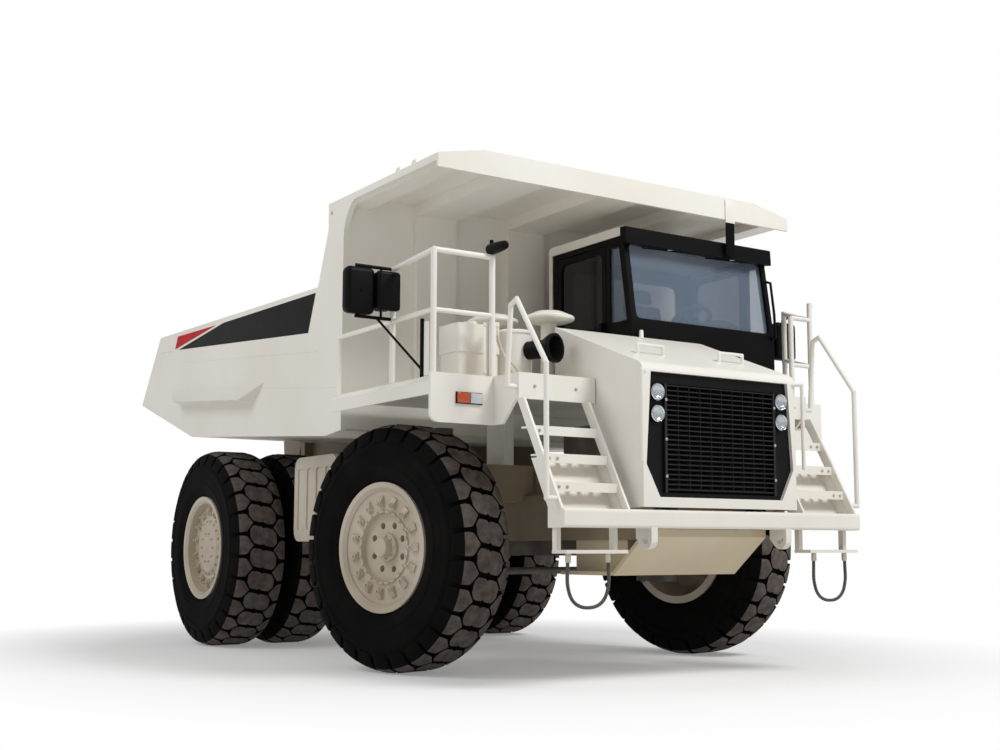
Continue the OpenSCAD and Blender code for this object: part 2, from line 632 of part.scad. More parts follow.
// Tie rod between the two steering arms, with a pin down through each arm
module tie_rod() color(grey) here() {
  translate([arm_x * cos(steer_rest), arm_x * sin(steer_rest), hub_z]) {
    ycyl(0, -kp_y, kp_y, -210, 32, 24);
    for (y = [-kp_y, kp_y]) {
      translate([0, y, -330]) cylinder(h = 120, r = 25, $fn = 24);
      translate([0, y, -250]) cylinder(h = 80, r = 50, $fn = 24);
    }
  }
}

// Tyre: a bulged section turned about the axle, with funnel-shaped gaps cut across each
// shoulder so that blocks stand between them
module tyre() {
  h = tyre_w / 2;
  r = tyre_d / 2;
  side = [[rim_seat + 0.2, -236], [537, -236], [570, -h + 22], [740, -h], [r - 120, -h + 14],
    [r - 36, -h + 44], [r, -h + 130]];
  turn = 360 / lug_count;
  difference() {
    rotate_extrude($fn = 56)
      polygon(concat(side, [for (i = [6 : -1 : 0]) [side[i][0], -side[i][1]]]));
    for (s = [-1, 1], i = [0 : lug_count - 1]) rotate([0, 0, (i + 0.5) * turn])
      translate([r - 32, 0, s * 40]) rotate([0, 90 - s * 16, 0]) linear_extrude(height = 150)
        polygon([[0, -13], [-s * 110, -13], [-s * 300, -52], [-s * 300, 52], [-s * 110, 13], [0, 13]]);
  }
}

// Rim barrel with a flange each side
module rim_barrel() {
  rotate_extrude($fn = 56) polygon([[466, -264], [535, -264], [535, -240], [rim_seat, -238],
    [rim_seat, 238], [535, 240], [535, 264], [492, 264], [466, 238]]);
}

// Wedge clamps round a rim's disc
module cleats(r, z, n) {
  for (i = [0 : n - 1]) rotate([0, 0, i * 360 / n])
    prof([[r - 40, z - 6], [r + 45, z - 6], [r + 45, z + 12], [r + 5, z + 36], [r - 40, z + 22]], -28, 28);
}

// Front rim: barrel, clamp ring, dished disc with round holes and a hub bored for the spindle
module front_rim() {
  rim_barrel();
  difference() {
    rotate_extrude($fn = 48)
      polygon([[110.05, -140], [190, -140], [210, 40], [250, 140], [300, 180], [470, 190], [470, 228],
        [420, 215], [302, 215], [300, 230], [285, 230], [282, 182], [130, 170], [110.05, 170]]);
    for (i = [0 : 7]) rotate([0, 0, i * 45 + 22]) translate([190, 0, 110])
      cylinder(h = 100, r = 28, $fn = 20);
  }
  cleats(375, 215, 15);
  translate([0, 0, 150]) rotate_extrude($fn = 40)
    polygon([[0, 0], [116, 0], [116, 46], [110, 52], [80, 54], [77, 116], [70, 122], [0, 124]]);
}
module tyre_front_left() color(rubber) here() on_knuckle(1) spun(king_out, 1) tyre();
module tyre_front_right() color(rubber) here() on_knuckle(-1) spun(king_out, -1) tyre();
module rim_front_left() color(paint) here() on_knuckle(1) spun(king_out, 1) front_rim();
module rim_front_right() color(paint) here() on_knuckle(-1) spun(king_out, -1) front_rim();

// Rear pair: two tyres, two rims on one hub bored for the axle tube, closed by a cover
module rear_rims() {
  rim_barrel();
  translate([0, 0, -dual]) rim_barrel();
  rotate_extrude($fn = 48)
    polygon([[160.05, -800], [240, -800], [240, -580], [470, -560], [470, -530], [300, -520], [300, 100],
      [470, 120], [470, 158], [332, 158], [330, 176], [300, 176], [250, 200], [110, 206], [0, 206],
      [0, 40], [160.05, 40]]);
  cleats(385, 158, 15);
}
module rear_tyres() {
  tyre();
  translate([0, 0, -dual]) tyre();
}
module tyres_rear_left() color(rubber) at_rear(1) rear_tyres();
module tyres_rear_right() color(rubber) at_rear(-1) rear_tyres();
module rims_rear_left() color(paint) at_rear(1) rear_rims();
module rims_rear_right() color(paint) at_rear(-1) rear_rims();

// Cab doors hinged at their rear edge, with a window opening, two hinges and a pull handle;
// s is +1 on the left wall and -1 on the right wall
module door(y, s) {
  thick = 40;
  in = s > 0 ? y - thick : y;
  difference() {
    box(dx0 + 8, dx1 - 8, in, in + thick, dz0 + 8, dz1 - 8);
    prof(door_light(), in - 10, in + thick + 10);
  }
  for (z = [dz0 + 280, dz1 - 290])
    translate([dx0 + 10, y, z]) cylinder(h = 120, r = 9.7, $fn = 20);
  pull = s > 0 ? y - 5 : y - 45;
  box(dx1 - 55, dx1 - 20, pull, pull + 50, sill_z - 140, sill_z + 10);
}
module door_pane(y, s) {
  in = s > 0 ? y - 28 : y + 16;
  prof(door_light(), in, in + 12);
}
module door_left() color(black) here() door(cab_y1, 1);
module door_glass_left() color(glass) here() door_pane(cab_y1, 1);
module door_right() color(black) here() door(cab_y0, -1);
module door_glass_right() color(glass) here() door_pane(cab_y0, -1);

// Body floor, nearly level from the front and rising to the tail
module dump_floor() color(paint) here() {
  w = body_half - plate;
  t = plate + 10;
  prof([[head_x, floor_z + 45], [head_x - 260, under(head_x - 260)], [kick_x, under(kick_x)],
    [tail_x, under(tail_x)], [tail_x, under(tail_x) + t], [kick_x - 5, under(kick_x) + t],
    [head_x, floor_z + t]], -w, w);
}

// Body sides with a box rail along the top, a wedge-shaped rock ledge outside and ribs inside
module dump_sides() color(paint) here() both() {
  w = body_half;
  top_x = tail_x + 590;
  turn_x = head_x - 460;
  prof([[head_x + plate, floor_z + 45], [head_x - 260, under(head_x - 260) - 3],
    [kick_x, under(kick_x) - 2], [tail_x, under(tail_x)], [top_x, rail_z + 90], [turn_x, rail_z],
    [head_x + plate, rail_z]], w - plate, w);
  prof([[turn_x, rail_z - 130], [top_x + 50, rail_z - 40], [top_x, rail_z + 90], [turn_x, rail_z]],
    w - 140, w - plate + 5);
  translate([rear_x, w, floor_z]) polyhedron([[1430, -5, 647], [-1190, -5, 818], [1130, 150, 483],
    [-770, 150, 638], [1165, -5, 470], [-920, -5, 625]], [[0, 1, 3], [0, 3, 2], [2, 3, 5], [2, 5, 4],
    [0, 4, 5], [0, 5, 1], [0, 2, 4], [1, 5, 3]]);
  for (i = [1 : 3]) {
    x = head_x + (tail_x - head_x) * i / 4;
    box(x, x + 90, w - plate - 40, w - plate + 5, under(x) + plate + 30, rail_z - 120);
  }
}

// Front wall of the load space, crowned like the canopy, with broad upright ribs
module dump_headboard() color(paint) here() {
  w = body_half - plate;
  edge = canopy_z - 60 - seat_gap - 88 * (w - bend_y) / (body_half - bend_y);
  top = canopy_z - 60 - seat_gap;
  face = head_x + plate;
  front_prof([[-w, floor_z + plate + 10], [w, floor_z + plate + 10], [w, edge], [bend_y, top], [-bend_y, top],
    [-w, edge]], head_x, face);
  rib_top = canopy_z - rib_h - seat_gap;
  for (y = rib_at)
    prof([[face - 1, deck_z + 100], [face + 10, deck_z + 100], [face + 55, deck_z + 190],
      [face + 55, rib_top], [face - 1, rib_top]], y - rib_half, y + rib_half);
}

// Canopy section seen from the front: level over the middle, falling to each edge
function crown(t) = [[-body_half, canopy_z - 88], [-bend_y, canopy_z], [bend_y, canopy_z],
  [body_half, canopy_z - 88], [body_half, canopy_z - 88 - t], [bend_y, canopy_z - t],
  [-bend_y, canopy_z - t], [-body_half, canopy_z - 88 - t]];

// Canopy over the cab: a front lip with a level lower edge, wing plates that sweep down to
// the body's sides, and broad hollow-section ribs below
module dump_canopy() color(paint) here() {
  w = body_half;
  back = head_x - 260;
  sweep = 340;
  face = head_x + plate;
  z = canopy_z;
  front_prof(crown(60), back, lip_x);
  front_prof([[-w, z - 88], [-w, z - lip_h], [w, z - lip_h], [w, z - 88], [bend_y, z], [-bend_y, z]],
    lip_x - 30, lip_x);
  both() difference() {
    prof(concat([[head_x - 460, rail_z], [face, rail_z]],
      arc([face + sweep, z - 115 - sweep], sweep, 180, 90, 8), arc([back + 60, z - 158], 60, 90, 180),
      [[back, rail_z + 490]]), w - plate, w);
    ycyl(back + 66, w - 2 * plate, w + plate, z - 185, 20);
  }
  for (y = rib_at)
    prof([[face + seat_gap, z - 55], [face + seat_gap, z - rib_h], [lip_x - 140, z - rib_h],
      [lip_x - 90, z - 55]], y - rib_half, y + rib_half);
  both() front_prof([[w - 250, z - 90], [w - plate, z - 120], [w - plate, z - rib_h - 10],
    [w - 250, z - rib_h - 10]], face + seat_gap, lip_x - 120);
}

// Rubber strip on a bracket, hanging from the canopy's lip as a height marker
module canopy_strip() color(black) here() {
  x = lip_x + seat_gap;
  box(x, x + 8, bend_y - 320, bend_y - 265, canopy_z - 540, canopy_z - 20);
}

// Beams under the floor that rest over the rails, pivot ears and the hoists' upper ears
module dump_bolsters() color(paint) here() both() {
  lo = frame_hi + 10;
  x0 = head_x - 300;
  x1 = kick_x - 70;
  prof([[x0, lo], [x1, lo], [x1, under(kick_x) - 0.5], [kick_x, under(kick_x) - 0.5],
    [x0, under(x0) - 0.5]], 390, 490);
  difference() {
    prof(concat(arc([piv_x, piv_z], 115, 190, 330, 8), [[piv_x + 320, under(piv_x + 320) - 0.5],
      [piv_x - 200, under(piv_x - 200) - 0.5]]), 505, 590);
    ycyl(piv_x, 400, 700, piv_z, 60);
  }
  ycyl(piv_x, 375, 595, piv_z, 60);
  box(x1, x1 + 100, 480, 590, floor_z - 95, under(x1 + 100) - 1);
  for (y = [hoist_y - 110, hoist_y + 80])
    prof(concat([[up_x + 180, under(up_x + 180) - 0.5], [up_x - 180, under(up_x - 180) - 0.5]],
      arc([up_x, up_z], 95, 200, 340, 8)), y, y + 30);
  ycyl(up_x, hoist_y - 130, hoist_y - 109, up_z, 60);
  ycyl(up_x, hoist_y + 109, hoist_y + 130, up_z, 60);
}

// Hoist cylinders between the rails: barrels on a lower pin, a middle stage and a rod each
module hoist() {
  translate([lo_x, 0, lo_z]) rotate([0, hoist_ang - 90, 0]) both() children();
}
module hoist_barrels() color(paint) here() {
  hoist() difference() {
    translate([0, hoist_y, 40]) cylinder(h = hoist_len - 221, r = 112, $fn = 40);
    translate([0, hoist_y, 90]) cylinder(h = hoist_len, r = 95.05, $fn = 40);
  }
  hoist() ycyl(0, hoist_y - 60, hoist_y + 60, 0, 80);
  hoist() ycyl(0, 110, 455, 0, 50);
}
module hoist_stages() color(grey) here() hoist() difference() {
  translate([0, hoist_y, 95]) cylinder(h = hoist_len - 221, r = 95, $fn = 40);
  translate([0, hoist_y, 130]) cylinder(h = hoist_len, r = 75.05, $fn = 40);
}
module hoist_rods() color("#b8bcc0") here() hoist() {
  translate([0, hoist_y, 135]) cylinder(h = hoist_len - 190, r = 75, $fn = 40);
  ycyl(0, hoist_y - 60, hoist_y + 60, hoist_len, 85);
  ycyl(0, hoist_y - 80 + seat_gap, hoist_y + 80 - seat_gap, hoist_len, 50);
}

frame_rails();
front_bumper();
belly_guard();
lower_steps();
step_stirrups();
ladders();
ladder_handrails();
deck_right();
deck_left();
deck_handrails();
hood();
grille();
lamps();
radiator();
engine();
transmission();
driveshaft();
fuel_tank();
hydraulic_tank();
deck_tank();
air_cleaner();
intake_hose();
mirrors();
cab_floor();
cab_frame();
cab_roof();
cab_glass();
operator_seat();
cab_controls();
front_struts();
rear_axle();
rear_suspension();
knuckle_left();
knuckle_right();
tie_rod();
tyre_front_left();
rim_front_left();
tyre_front_right();
rim_front_right();
tyres_rear_left();
rims_rear_left();
tyres_rear_right();
rims_rear_right();
door_left();
door_glass_left();
door_right();
door_glass_right();
dump_floor();
dump_sides();
dump_headboard();
dump_canopy();
canopy_strip();
dump_bolsters();
hoist_barrels();
hoist_stages();
hoist_rods();
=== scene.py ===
# %% [markdown]
# # Dressing a rigid dump truck
# The imported CAD model is the frame of this lesson. It already has every panel, wheel and
# hinge in its place, in metres, so new pieces only have to be modelled where the frame says.
# We load it first.

# %% Load the frame
import json
import math
import bpy
from mathutils import Matrix, Vector


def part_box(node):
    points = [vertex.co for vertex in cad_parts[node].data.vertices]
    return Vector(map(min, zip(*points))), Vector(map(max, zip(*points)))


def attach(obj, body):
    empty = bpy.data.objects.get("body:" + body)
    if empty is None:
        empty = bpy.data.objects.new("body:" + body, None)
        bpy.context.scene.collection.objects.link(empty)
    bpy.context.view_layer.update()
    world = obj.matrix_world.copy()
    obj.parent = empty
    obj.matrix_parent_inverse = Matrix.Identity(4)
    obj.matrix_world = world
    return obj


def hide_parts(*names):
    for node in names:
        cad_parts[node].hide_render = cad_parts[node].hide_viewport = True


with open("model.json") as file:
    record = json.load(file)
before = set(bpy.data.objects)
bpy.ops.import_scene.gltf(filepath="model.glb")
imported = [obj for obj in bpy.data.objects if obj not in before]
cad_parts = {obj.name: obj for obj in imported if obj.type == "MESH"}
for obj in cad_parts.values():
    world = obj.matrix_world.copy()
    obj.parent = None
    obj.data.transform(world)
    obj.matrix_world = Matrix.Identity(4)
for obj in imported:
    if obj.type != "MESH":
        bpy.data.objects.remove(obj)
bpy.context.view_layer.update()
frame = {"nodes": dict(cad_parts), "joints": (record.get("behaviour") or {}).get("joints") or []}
nodes = frame["nodes"]
joints = {joint["name"]: joint for joint in frame["joints"]}
axle_x = joints["steer_left"]["pos_m"][0]
scene = bpy.context.scene
scene.view_settings.view_transform = "Standard"

# %% [markdown]
# ## Camera
# The photograph looks slightly upwards at the right front corner from about a metre above
# the ground. A camera is placed by its position, its angles and its lens; these came from
# matching known corners of the truck, so the picture and the model line up.

# %% Place the camera
camera_data = bpy.data.cameras.new("photo_camera")
camera_data.sensor_width = 36.0
camera_data.lens = 47.679
camera_data.shift_x = -0.020
camera_data.shift_y = 0.015
camera_data.clip_end = 300.0
camera = bpy.data.objects.new("photo_camera", camera_data)
camera.location = (axle_x + 9.825, -7.109, 1.011)
camera.rotation_euler = (math.radians(96.825), 0.0, math.radians(55.819))
scene.collection.objects.link(camera)
scene.camera = camera
print("camera at", [round(c, 3) for c in camera.location])

# %% [markdown]
# ## Small modelling helpers
# Operators act on whatever is selected, so every step starts by deselecting all. The helpers
# below do what a modeller does by hand again and again: choose faces by a rule, apply a
# modifier, set copies of one piece in many places and join them, and give a piece its finish.

# %% Selection and modifiers
def deselect():
    if bpy.context.mode != "OBJECT":
        bpy.ops.object.mode_set(mode="OBJECT")
    bpy.ops.object.select_all(action="DESELECT")


def activate(piece):
    deselect()
    piece.select_set(True)
    bpy.context.view_layer.objects.active = piece


def choose_faces(piece, rule):
    activate(piece)
    bpy.ops.object.mode_set(mode="EDIT")
    bpy.ops.mesh.select_mode(type="FACE")
    bpy.ops.mesh.select_all(action="DESELECT")
    bpy.ops.object.mode_set(mode="OBJECT")
    for face in piece.data.polygons:
        face.select = rule(face)
    bpy.ops.object.mode_set(mode="EDIT")


def modify(piece, kind, **settings):
    activate(piece)
    modifier = piece.modifiers.new(kind.lower(), kind)
    for key, value in settings.items():
        setattr(modifier, key, value)
    bpy.ops.object.modifier_apply(modifier=modifier.name)
    return piece


# %% Places measured from the front axle
def from_axle(x, y, z):
    return (axle_x + x, y, z)


def at(x, y, z):
    return Matrix.Translation(from_axle(x, y, z))


# %% Copies and joins
def copy_at(piece, matrix):
    twin = piece.copy()
    twin.data = piece.data.copy()
    twin.data.transform(matrix)
    if matrix.to_3x3().determinant() < 0:
        twin.data.flip_normals()
    scene.collection.objects.link(twin)
    return twin


def join(name, pieces):
    deselect()
    for piece in pieces:
        piece.select_set(True)
    bpy.context.view_layer.objects.active = pieces[0]
    if len(pieces) > 1:
        bpy.ops.object.join()
    pieces[0].name = name
    pieces[0].data.name = name
    return pieces[0]


def pattern(name, piece, places):
    twins = [copy_at(piece, place) for place in places]
    bpy.data.objects.remove(piece)
    return join(name, twins)


# %% Start shapes
def edit_all(piece):
    activate(piece)
    bpy.ops.object.mode_set(mode="EDIT")
    bpy.ops.mesh.select_all(action="SELECT")


def block(name, low, high, soften, segments=2, finish=None):
    deselect()
    centre = [(a + b) / 2 for a, b in zip(low, high)]
    size = [b - a for a, b in zip(low, high)]
    bpy.ops.mesh.primitive_cube_add(size=1, location=centre, scale=size)
    piece = bpy.context.active_object
    bpy.ops.object.transform_apply(location=True, rotation=True, scale=True)
    edit_all(piece)
    bpy.ops.mesh.bevel(offset=soften, segments=segments, affect="EDGES")
    bpy.ops.object.mode_set(mode="OBJECT")
    piece.name = name
    if finish is not None:
        piece.data.materials.append(finish)
    return piece


def outline(name, points, fill="NGON"):
    deselect()
    bpy.ops.mesh.primitive_circle_add(vertices=len(points), fill_type=fill)
    piece = bpy.context.active_object
    for vertex, point in zip(piece.data.vertices, points):
        vertex.co = point
    piece.name = name
    return piece


def thicken(piece, move):
    edit_all(piece)
    bpy.ops.mesh.extrude_region_move(TRANSFORM_OT_translate={"value": move})
    bpy.ops.mesh.select_all(action="SELECT")
    bpy.ops.mesh.normals_make_consistent(inside=False)
    bpy.ops.object.mode_set(mode="OBJECT")
    return piece


def turned(name, profile, steps, closed=True):
    """A profile of (radius, height) points spun about the local Z axis."""
    piece = outline(name, [(r, 0.0, z) for r, z in profile], "NOTHING")
    edit_all(piece)
    if not closed:
        bpy.ops.object.mode_set(mode="OBJECT")
        last = len(profile) - 1
        for edge in piece.data.edges:
            edge.select = set(edge.vertices) == {0, last}
        for vertex in piece.data.vertices:
            vertex.select = False
        bpy.ops.object.mode_set(mode="EDIT")
        bpy.ops.mesh.select_mode(type="EDGE")
        bpy.ops.mesh.delete(type="EDGE_FACE")
        bpy.ops.mesh.select_all(action="SELECT")
    bpy.ops.mesh.spin(steps=steps, angle=2 * math.pi, center=(0, 0, 0), axis=(0, 0, 1))
    bpy.ops.mesh.select_all(action="SELECT")
    bpy.ops.mesh.remove_doubles(threshold=0.00005)
    bpy.ops.mesh.normals_make_consistent(inside=False)
    bpy.ops.object.mode_set(mode="OBJECT")
    return piece


# %% Finish a piece
def dress(piece, finish, body, angle=35):
    activate(piece)
    bpy.ops.object.transform_apply(location=True, rotation=True, scale=True)
    if finish is not None:
        piece.data.materials.clear()
        piece.data.materials.append(finish)
    bpy.ops.object.shade_smooth_by_angle(angle=math.radians(angle))
    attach(piece, body)
    return piece


print("helpers ready")

# %% [markdown]
# ## Finishes
# Each finish is a small node tree on Object coordinates, so its grain stays at its real size
# on every panel. A broad noise shifts the colour, a fine one shifts the gloss and gives a
# faint bump, and dust gathers where a working truck collects it: low down.

# %% Node helpers
def linear(red, green, blue):
    """A screen tone from 0 to 255 as the linear colour that a shader works with."""
    tones = [((c / 255 + 0.055) / 1.055) ** 2.4 if c > 10 else c / 3295 for c in (red, green, blue)]
    return (*tones, 1.0)


class Finish:
    def __init__(self, name, rough=0.5, metal=0.0):
        self.material = bpy.data.materials.new(name)
        self.material.use_nodes = True
        self.tree = self.material.node_tree
        self.shader = self.tree.nodes["Principled BSDF"]
        self.shader.inputs["Roughness"].default_value = rough
        self.shader.inputs["Metallic"].default_value = metal

    def node(self, kind, **settings):
        made = self.tree.nodes.new(kind)
        for key, value in settings.items():
            setattr(made, key, value)
        return made

    def link(self, source, target):
        self.tree.links.new(source, target)

    def point(self, scale=(1, 1, 1), turn=(0, 0, 0)):
        place = self.node("ShaderNodeMapping")
        place.inputs["Scale"].default_value = scale
        place.inputs["Rotation"].default_value = turn
        self.link(self.node("ShaderNodeTexCoord").outputs["Object"], place.inputs["Vector"])
        return place.outputs["Vector"]

    def texture(self, kind, scale, point=None, **settings):
        made = self.node("ShaderNodeTex" + kind, **settings)
        made.inputs["Scale"].default_value = scale
        self.link(self.point() if point is None else point, made.inputs["Vector"])
        return made

    def noise(self, scale, detail=3.0, stretch=(1, 1, 1)):
        made = self.texture("Noise", scale, self.point(stretch))
        made.inputs["Detail"].default_value = detail
        return made.outputs["Fac"]

    def span(self, value, low, high, to_low=0.0, to_high=1.0):
        made = self.node("ShaderNodeMapRange")
        for key, number in (("From Min", low), ("From Max", high), ("To Min", to_low), ("To Max", to_high)):
            made.inputs[key].default_value = number
        self.link(value, made.inputs["Value"])
        return made.outputs["Result"]

    def math(self, kind, a, b):
        made = self.node("ShaderNodeMath", operation=kind)
        for socket, value in zip(made.inputs, (a, b)):
            if isinstance(value, (int, float)):
                socket.default_value = value
            else:
                self.link(value, socket)
        return made.outputs[0]

    def blend(self, amount, a, b):
        made = self.node("ShaderNodeMix", data_type="RGBA")
        for socket, value in zip((made.inputs[0], made.inputs[6], made.inputs[7]), (amount, a, b)):
            if isinstance(value, (tuple, float)):
                socket.default_value = value
            else:
                self.link(value, socket)
        return made.outputs[2]

    def axis(self, name, normal=False):
        parts = self.node("ShaderNodeSeparateXYZ")
        source = self.node("ShaderNodeNewGeometry").outputs["Normal"] if normal else self.point()
        self.link(source, parts.inputs["Vector"])
        return parts.outputs[name]

    def colour(self, value):
        self.link(value, self.shader.inputs["Base Color"])

    def rough(self, value):
        self.link(value, self.shader.inputs["Roughness"])

    def relief(self, height, strength=0.3, distance=0.002):
        made = self.node("ShaderNodeBump")
        made.inputs["Strength"].default_value = strength
        made.inputs["Distance"].default_value = distance
        self.link(height, made.inputs["Height"])
        self.link(made.outputs["Normal"], self.shader.inputs["Normal"])


# %% [markdown]
# ### Cream paint
# The truck is sprayed in one warm white. Sprayed plate is never even: it has a slight orange
# peel, water marks that run down, and road dust on its lower parts. The dust is mixed in by
# height, so the bumper and rims look used while the canopy stays clean. The guard takes a
# darker coat of the same kind. The frame underneath takes a much darker coat that is partly
# grime and partly painted shade, the shade that falls under the body.

# %% Cream paint, plain and with a grip pattern
def sprayed_paint(name, tone, shade, dust, dust_top, grip=False, shine=0.5, matt=0.30, soiled=0.25):
    finish = Finish(name, 0.38)
    finish.shader.inputs["Specular IOR Level"].default_value = shine
    broad = finish.span(finish.noise(0.7, 3.0), 0.3, 0.7)
    runs = finish.span(finish.noise(3.0, 4.0, (3, 3, 0.25)), 0.5, 0.8)
    coat = finish.blend(broad, tone, shade)
    coat = finish.blend(finish.math("MULTIPLY", runs, 0.3), coat, shade)
    low = finish.span(finish.axis("Z"), 0.3, dust_top, soiled, 0.0)
    speck = finish.span(finish.noise(1.7, 6.0), 0.2, 0.85)
    finish.colour(finish.blend(finish.math("MULTIPLY", low, speck), coat, dust))
    fine = finish.noise(110.0, 2.0)
    finish.rough(finish.span(fine, 0.2, 0.8, matt, matt + 0.16))
    if grip:
        cells = finish.texture("Voronoi", 36.0, feature="F1")
        studs = finish.span(cells.outputs["Distance"], 0.15, 0.4, 1.0, 0.0)
        flat = finish.span(finish.axis("Z", True), 0.85, 0.95)
        finish.relief(finish.math("MULTIPLY", studs, flat), 0.5, 0.004)
    else:
        finish.relief(fine, 0.06, 0.0012)
    return finish.material


cream = linear(240, 237, 229)
cream_shade = linear(232, 227, 216)
road_dust = linear(150, 130, 102)
paint = sprayed_paint("cream_paint", cream, cream_shade, road_dust, 1.9)
dusty_paint = sprayed_paint("dusty_cream_paint", linear(222, 214, 200), linear(198, 188, 170), road_dust,
                            2.6, soiled=1.0)
guard_paint = sprayed_paint("dusty_guard_paint", linear(226, 212, 184), linear(208, 191, 158), road_dust,
                            2.0, soiled=0.5)
# The frame's dark coat is partly grime and partly painted shade, the shade under the body.
frame_grime_and_shade = sprayed_paint("grimy_frame_paint", linear(176, 162, 136), linear(146, 131, 106),
                            linear(84, 72, 56), 2.6, matt=0.45, soiled=1.0)
deck_paint = sprayed_paint("cream_grip_plate", cream, cream_shade, road_dust, 1.9, True)
satin_black = sprayed_paint("satin_black", linear(13, 13, 14), linear(9, 9, 10), linear(46, 42, 37), 2.2,
                            shine=0.10, matt=0.36)
coats = (paint, dusty_paint, guard_paint, frame_grime_and_shade, deck_paint, satin_black)
print("paints", [coat.name for coat in coats])

# %% [markdown]
# ### Rubber
# A tyre's side stays close to black, while the faces of the blocks that meet the road are
# scuffed to a dusty grey brown. They are two finishes, so the groove walls can stay dark.

# %% Rubber for the sidewall and for the worn block faces
def tyre_rubber(name, dark, worn, scale):
    finish = Finish(name, 0.8)
    finish.shader.inputs["Specular IOR Level"].default_value = 0.06
    patches = finish.span(finish.noise(scale, 6.0), 0.35, 0.7)
    finish.colour(finish.blend(patches, dark, worn))
    grain = finish.noise(160.0, 3.0)
    finish.rough(finish.span(grain, 0.2, 0.8, 0.68, 0.92))
    finish.relief(grain, 0.25, 0.002)
    return finish.material


side_rubber = tyre_rubber("tyre_side_rubber", linear(10, 10, 10), linear(19, 17, 16), 4.0)
worn_rubber = tyre_rubber("tyre_block_face", linear(80, 73, 70), linear(106, 98, 93), 14.0)
print("rubber", side_rubber.name, worn_rubber.name)

# %% [markdown]
# ### Metals, glass, lenses, cloth
# The running gear is bare or grey-painted casting, the hoist rods are hard chrome. Window
# glass is tinted and lets the cab show through; the windscreen's pale blue-grey is partly its
# tint and partly a painted reflection of the sky. Lamp lenses are moulded with fine ribs, and
# the radiator behind the grille is a grid of small fins.

# %% Castings and chrome
casting = Finish("grey_casting", 0.6, 0.3)
stain = casting.span(casting.noise(5.0, 6.0), 0.35, 0.7)
casting.colour(casting.blend(stain, linear(88, 86, 84), linear(118, 108, 94)))
casting.relief(casting.noise(90.0, 3.0), 0.3, 0.002)
chrome = Finish("hard_chrome", 0.15, 1.0)
chrome.colour(chrome.blend(chrome.noise(12.0, 4.0), linear(205, 208, 212), linear(184, 186, 188)))
chrome.rough(chrome.span(chrome.noise(220.0, 2.0, (1, 1, 0.05)), 0.3, 0.7, 0.10, 0.24))
bolt_steel = Finish("plated_bolts", 0.4, 0.6)
bolt_steel.colour(bolt_steel.blend(bolt_steel.noise(30.0, 4.0), linear(168, 160, 144), linear(206, 198, 180)))
bright = Finish("silvered_reflector", 0.14, 1.0)
facet = bright.texture("Voronoi", 70.0, feature="F1").outputs["Distance"]
bright.colour(bright.blend(facet, linear(226, 229, 232), linear(176, 180, 184)))
bright.relief(facet, 0.5, 0.003)
print("metals", casting.material.name, chrome.material.name, bright.material.name)

# %% Glass and lenses
def pane(name, tint, alpha):
    finish = Finish(name, 0.03)
    smear = finish.noise(3.0, 5.0, (1, 1, 0.4))
    finish.colour(finish.blend(smear, tint, tuple(c * 1.5 for c in tint[:3]) + (1.0,)))
    finish.rough(finish.span(smear, 0.3, 0.8, 0.02, 0.09))
    finish.shader.inputs["Alpha"].default_value = alpha
    return finish.material


def moulded_lens(name, tone, deep):
    finish = Finish(name, 0.12)
    finish.shader.inputs["Coat Weight"].default_value = 0.6
    ribs = finish.texture("Wave", 60.0, bands_direction="Y").outputs["Fac"]
    finish.colour(finish.blend(finish.span(ribs, 0.2, 0.9), deep, tone))
    finish.relief(ribs, 0.4, 0.002)
    return finish.material


# The windscreen's pale blue-grey is partly tint and partly a painted reflection of the sky.
glass = pane("tinted_glass", linear(118, 132, 150), 0.34)
door_glass = pane("dark_door_glass", linear(14, 17, 20), 0.72)
lamp_glass = pane("lamp_glass", linear(190, 198, 202), 0.22)
clear_lens = moulded_lens("clear_lens", linear(226, 229, 230), linear(168, 172, 174))
amber_lens = moulded_lens("amber_lens", linear(226, 92, 22), linear(168, 58, 12))
red_lens = moulded_lens("red_lens", linear(186, 20, 22), linear(118, 10, 12))
print("glass", glass.name, door_glass.name)

# %% Radiator fins, seat cloth, rope and band colours
fins = Finish("radiator_fins", 0.55, 0.2)
grid = fins.texture("Brick", 1.0, fins.point(turn=(math.pi / 2, 0, math.pi / 2)))
fin_grid = {"Mortar Size": 0.004, "Brick Width": 0.04, "Row Height": 0.016, "Color1": linear(30, 30, 31),
            "Color2": linear(42, 41, 40), "Mortar": linear(9, 9, 9)}
for key, value in fin_grid.items():
    grid.inputs[key].default_value = value
fins.colour(grid.outputs["Color"])
cloth = Finish("woven_seat_cloth", 0.9)
cloth.shader.inputs["Sheen Weight"].default_value = 0.3
weave = cloth.texture("Checker", 260.0).outputs["Fac"]
cloth.colour(cloth.blend(weave, linear(52, 52, 56), linear(72, 72, 78)))
cloth.relief(weave, 0.4, 0.001)
rope = Finish("wire_rope", 0.5, 0.4)
lay = rope.texture("Wave", 26.0, bands_direction="DIAGONAL").outputs["Fac"]
rope.colour(rope.blend(lay, linear(24, 24, 24), linear(120, 116, 110)))
rope.relief(lay, 0.6, 0.003)


def film(name, tone, worn):
    finish = Finish(name, 0.35)
    finish.shader.inputs["Specular IOR Level"].default_value = 0.1
    finish.colour(finish.blend(finish.span(finish.noise(5.0, 6.0), 0.4, 0.75), tone, worn))
    finish.rough(finish.span(finish.noise(120.0, 2.0), 0.2, 0.8, 0.28, 0.42))
    return finish.material


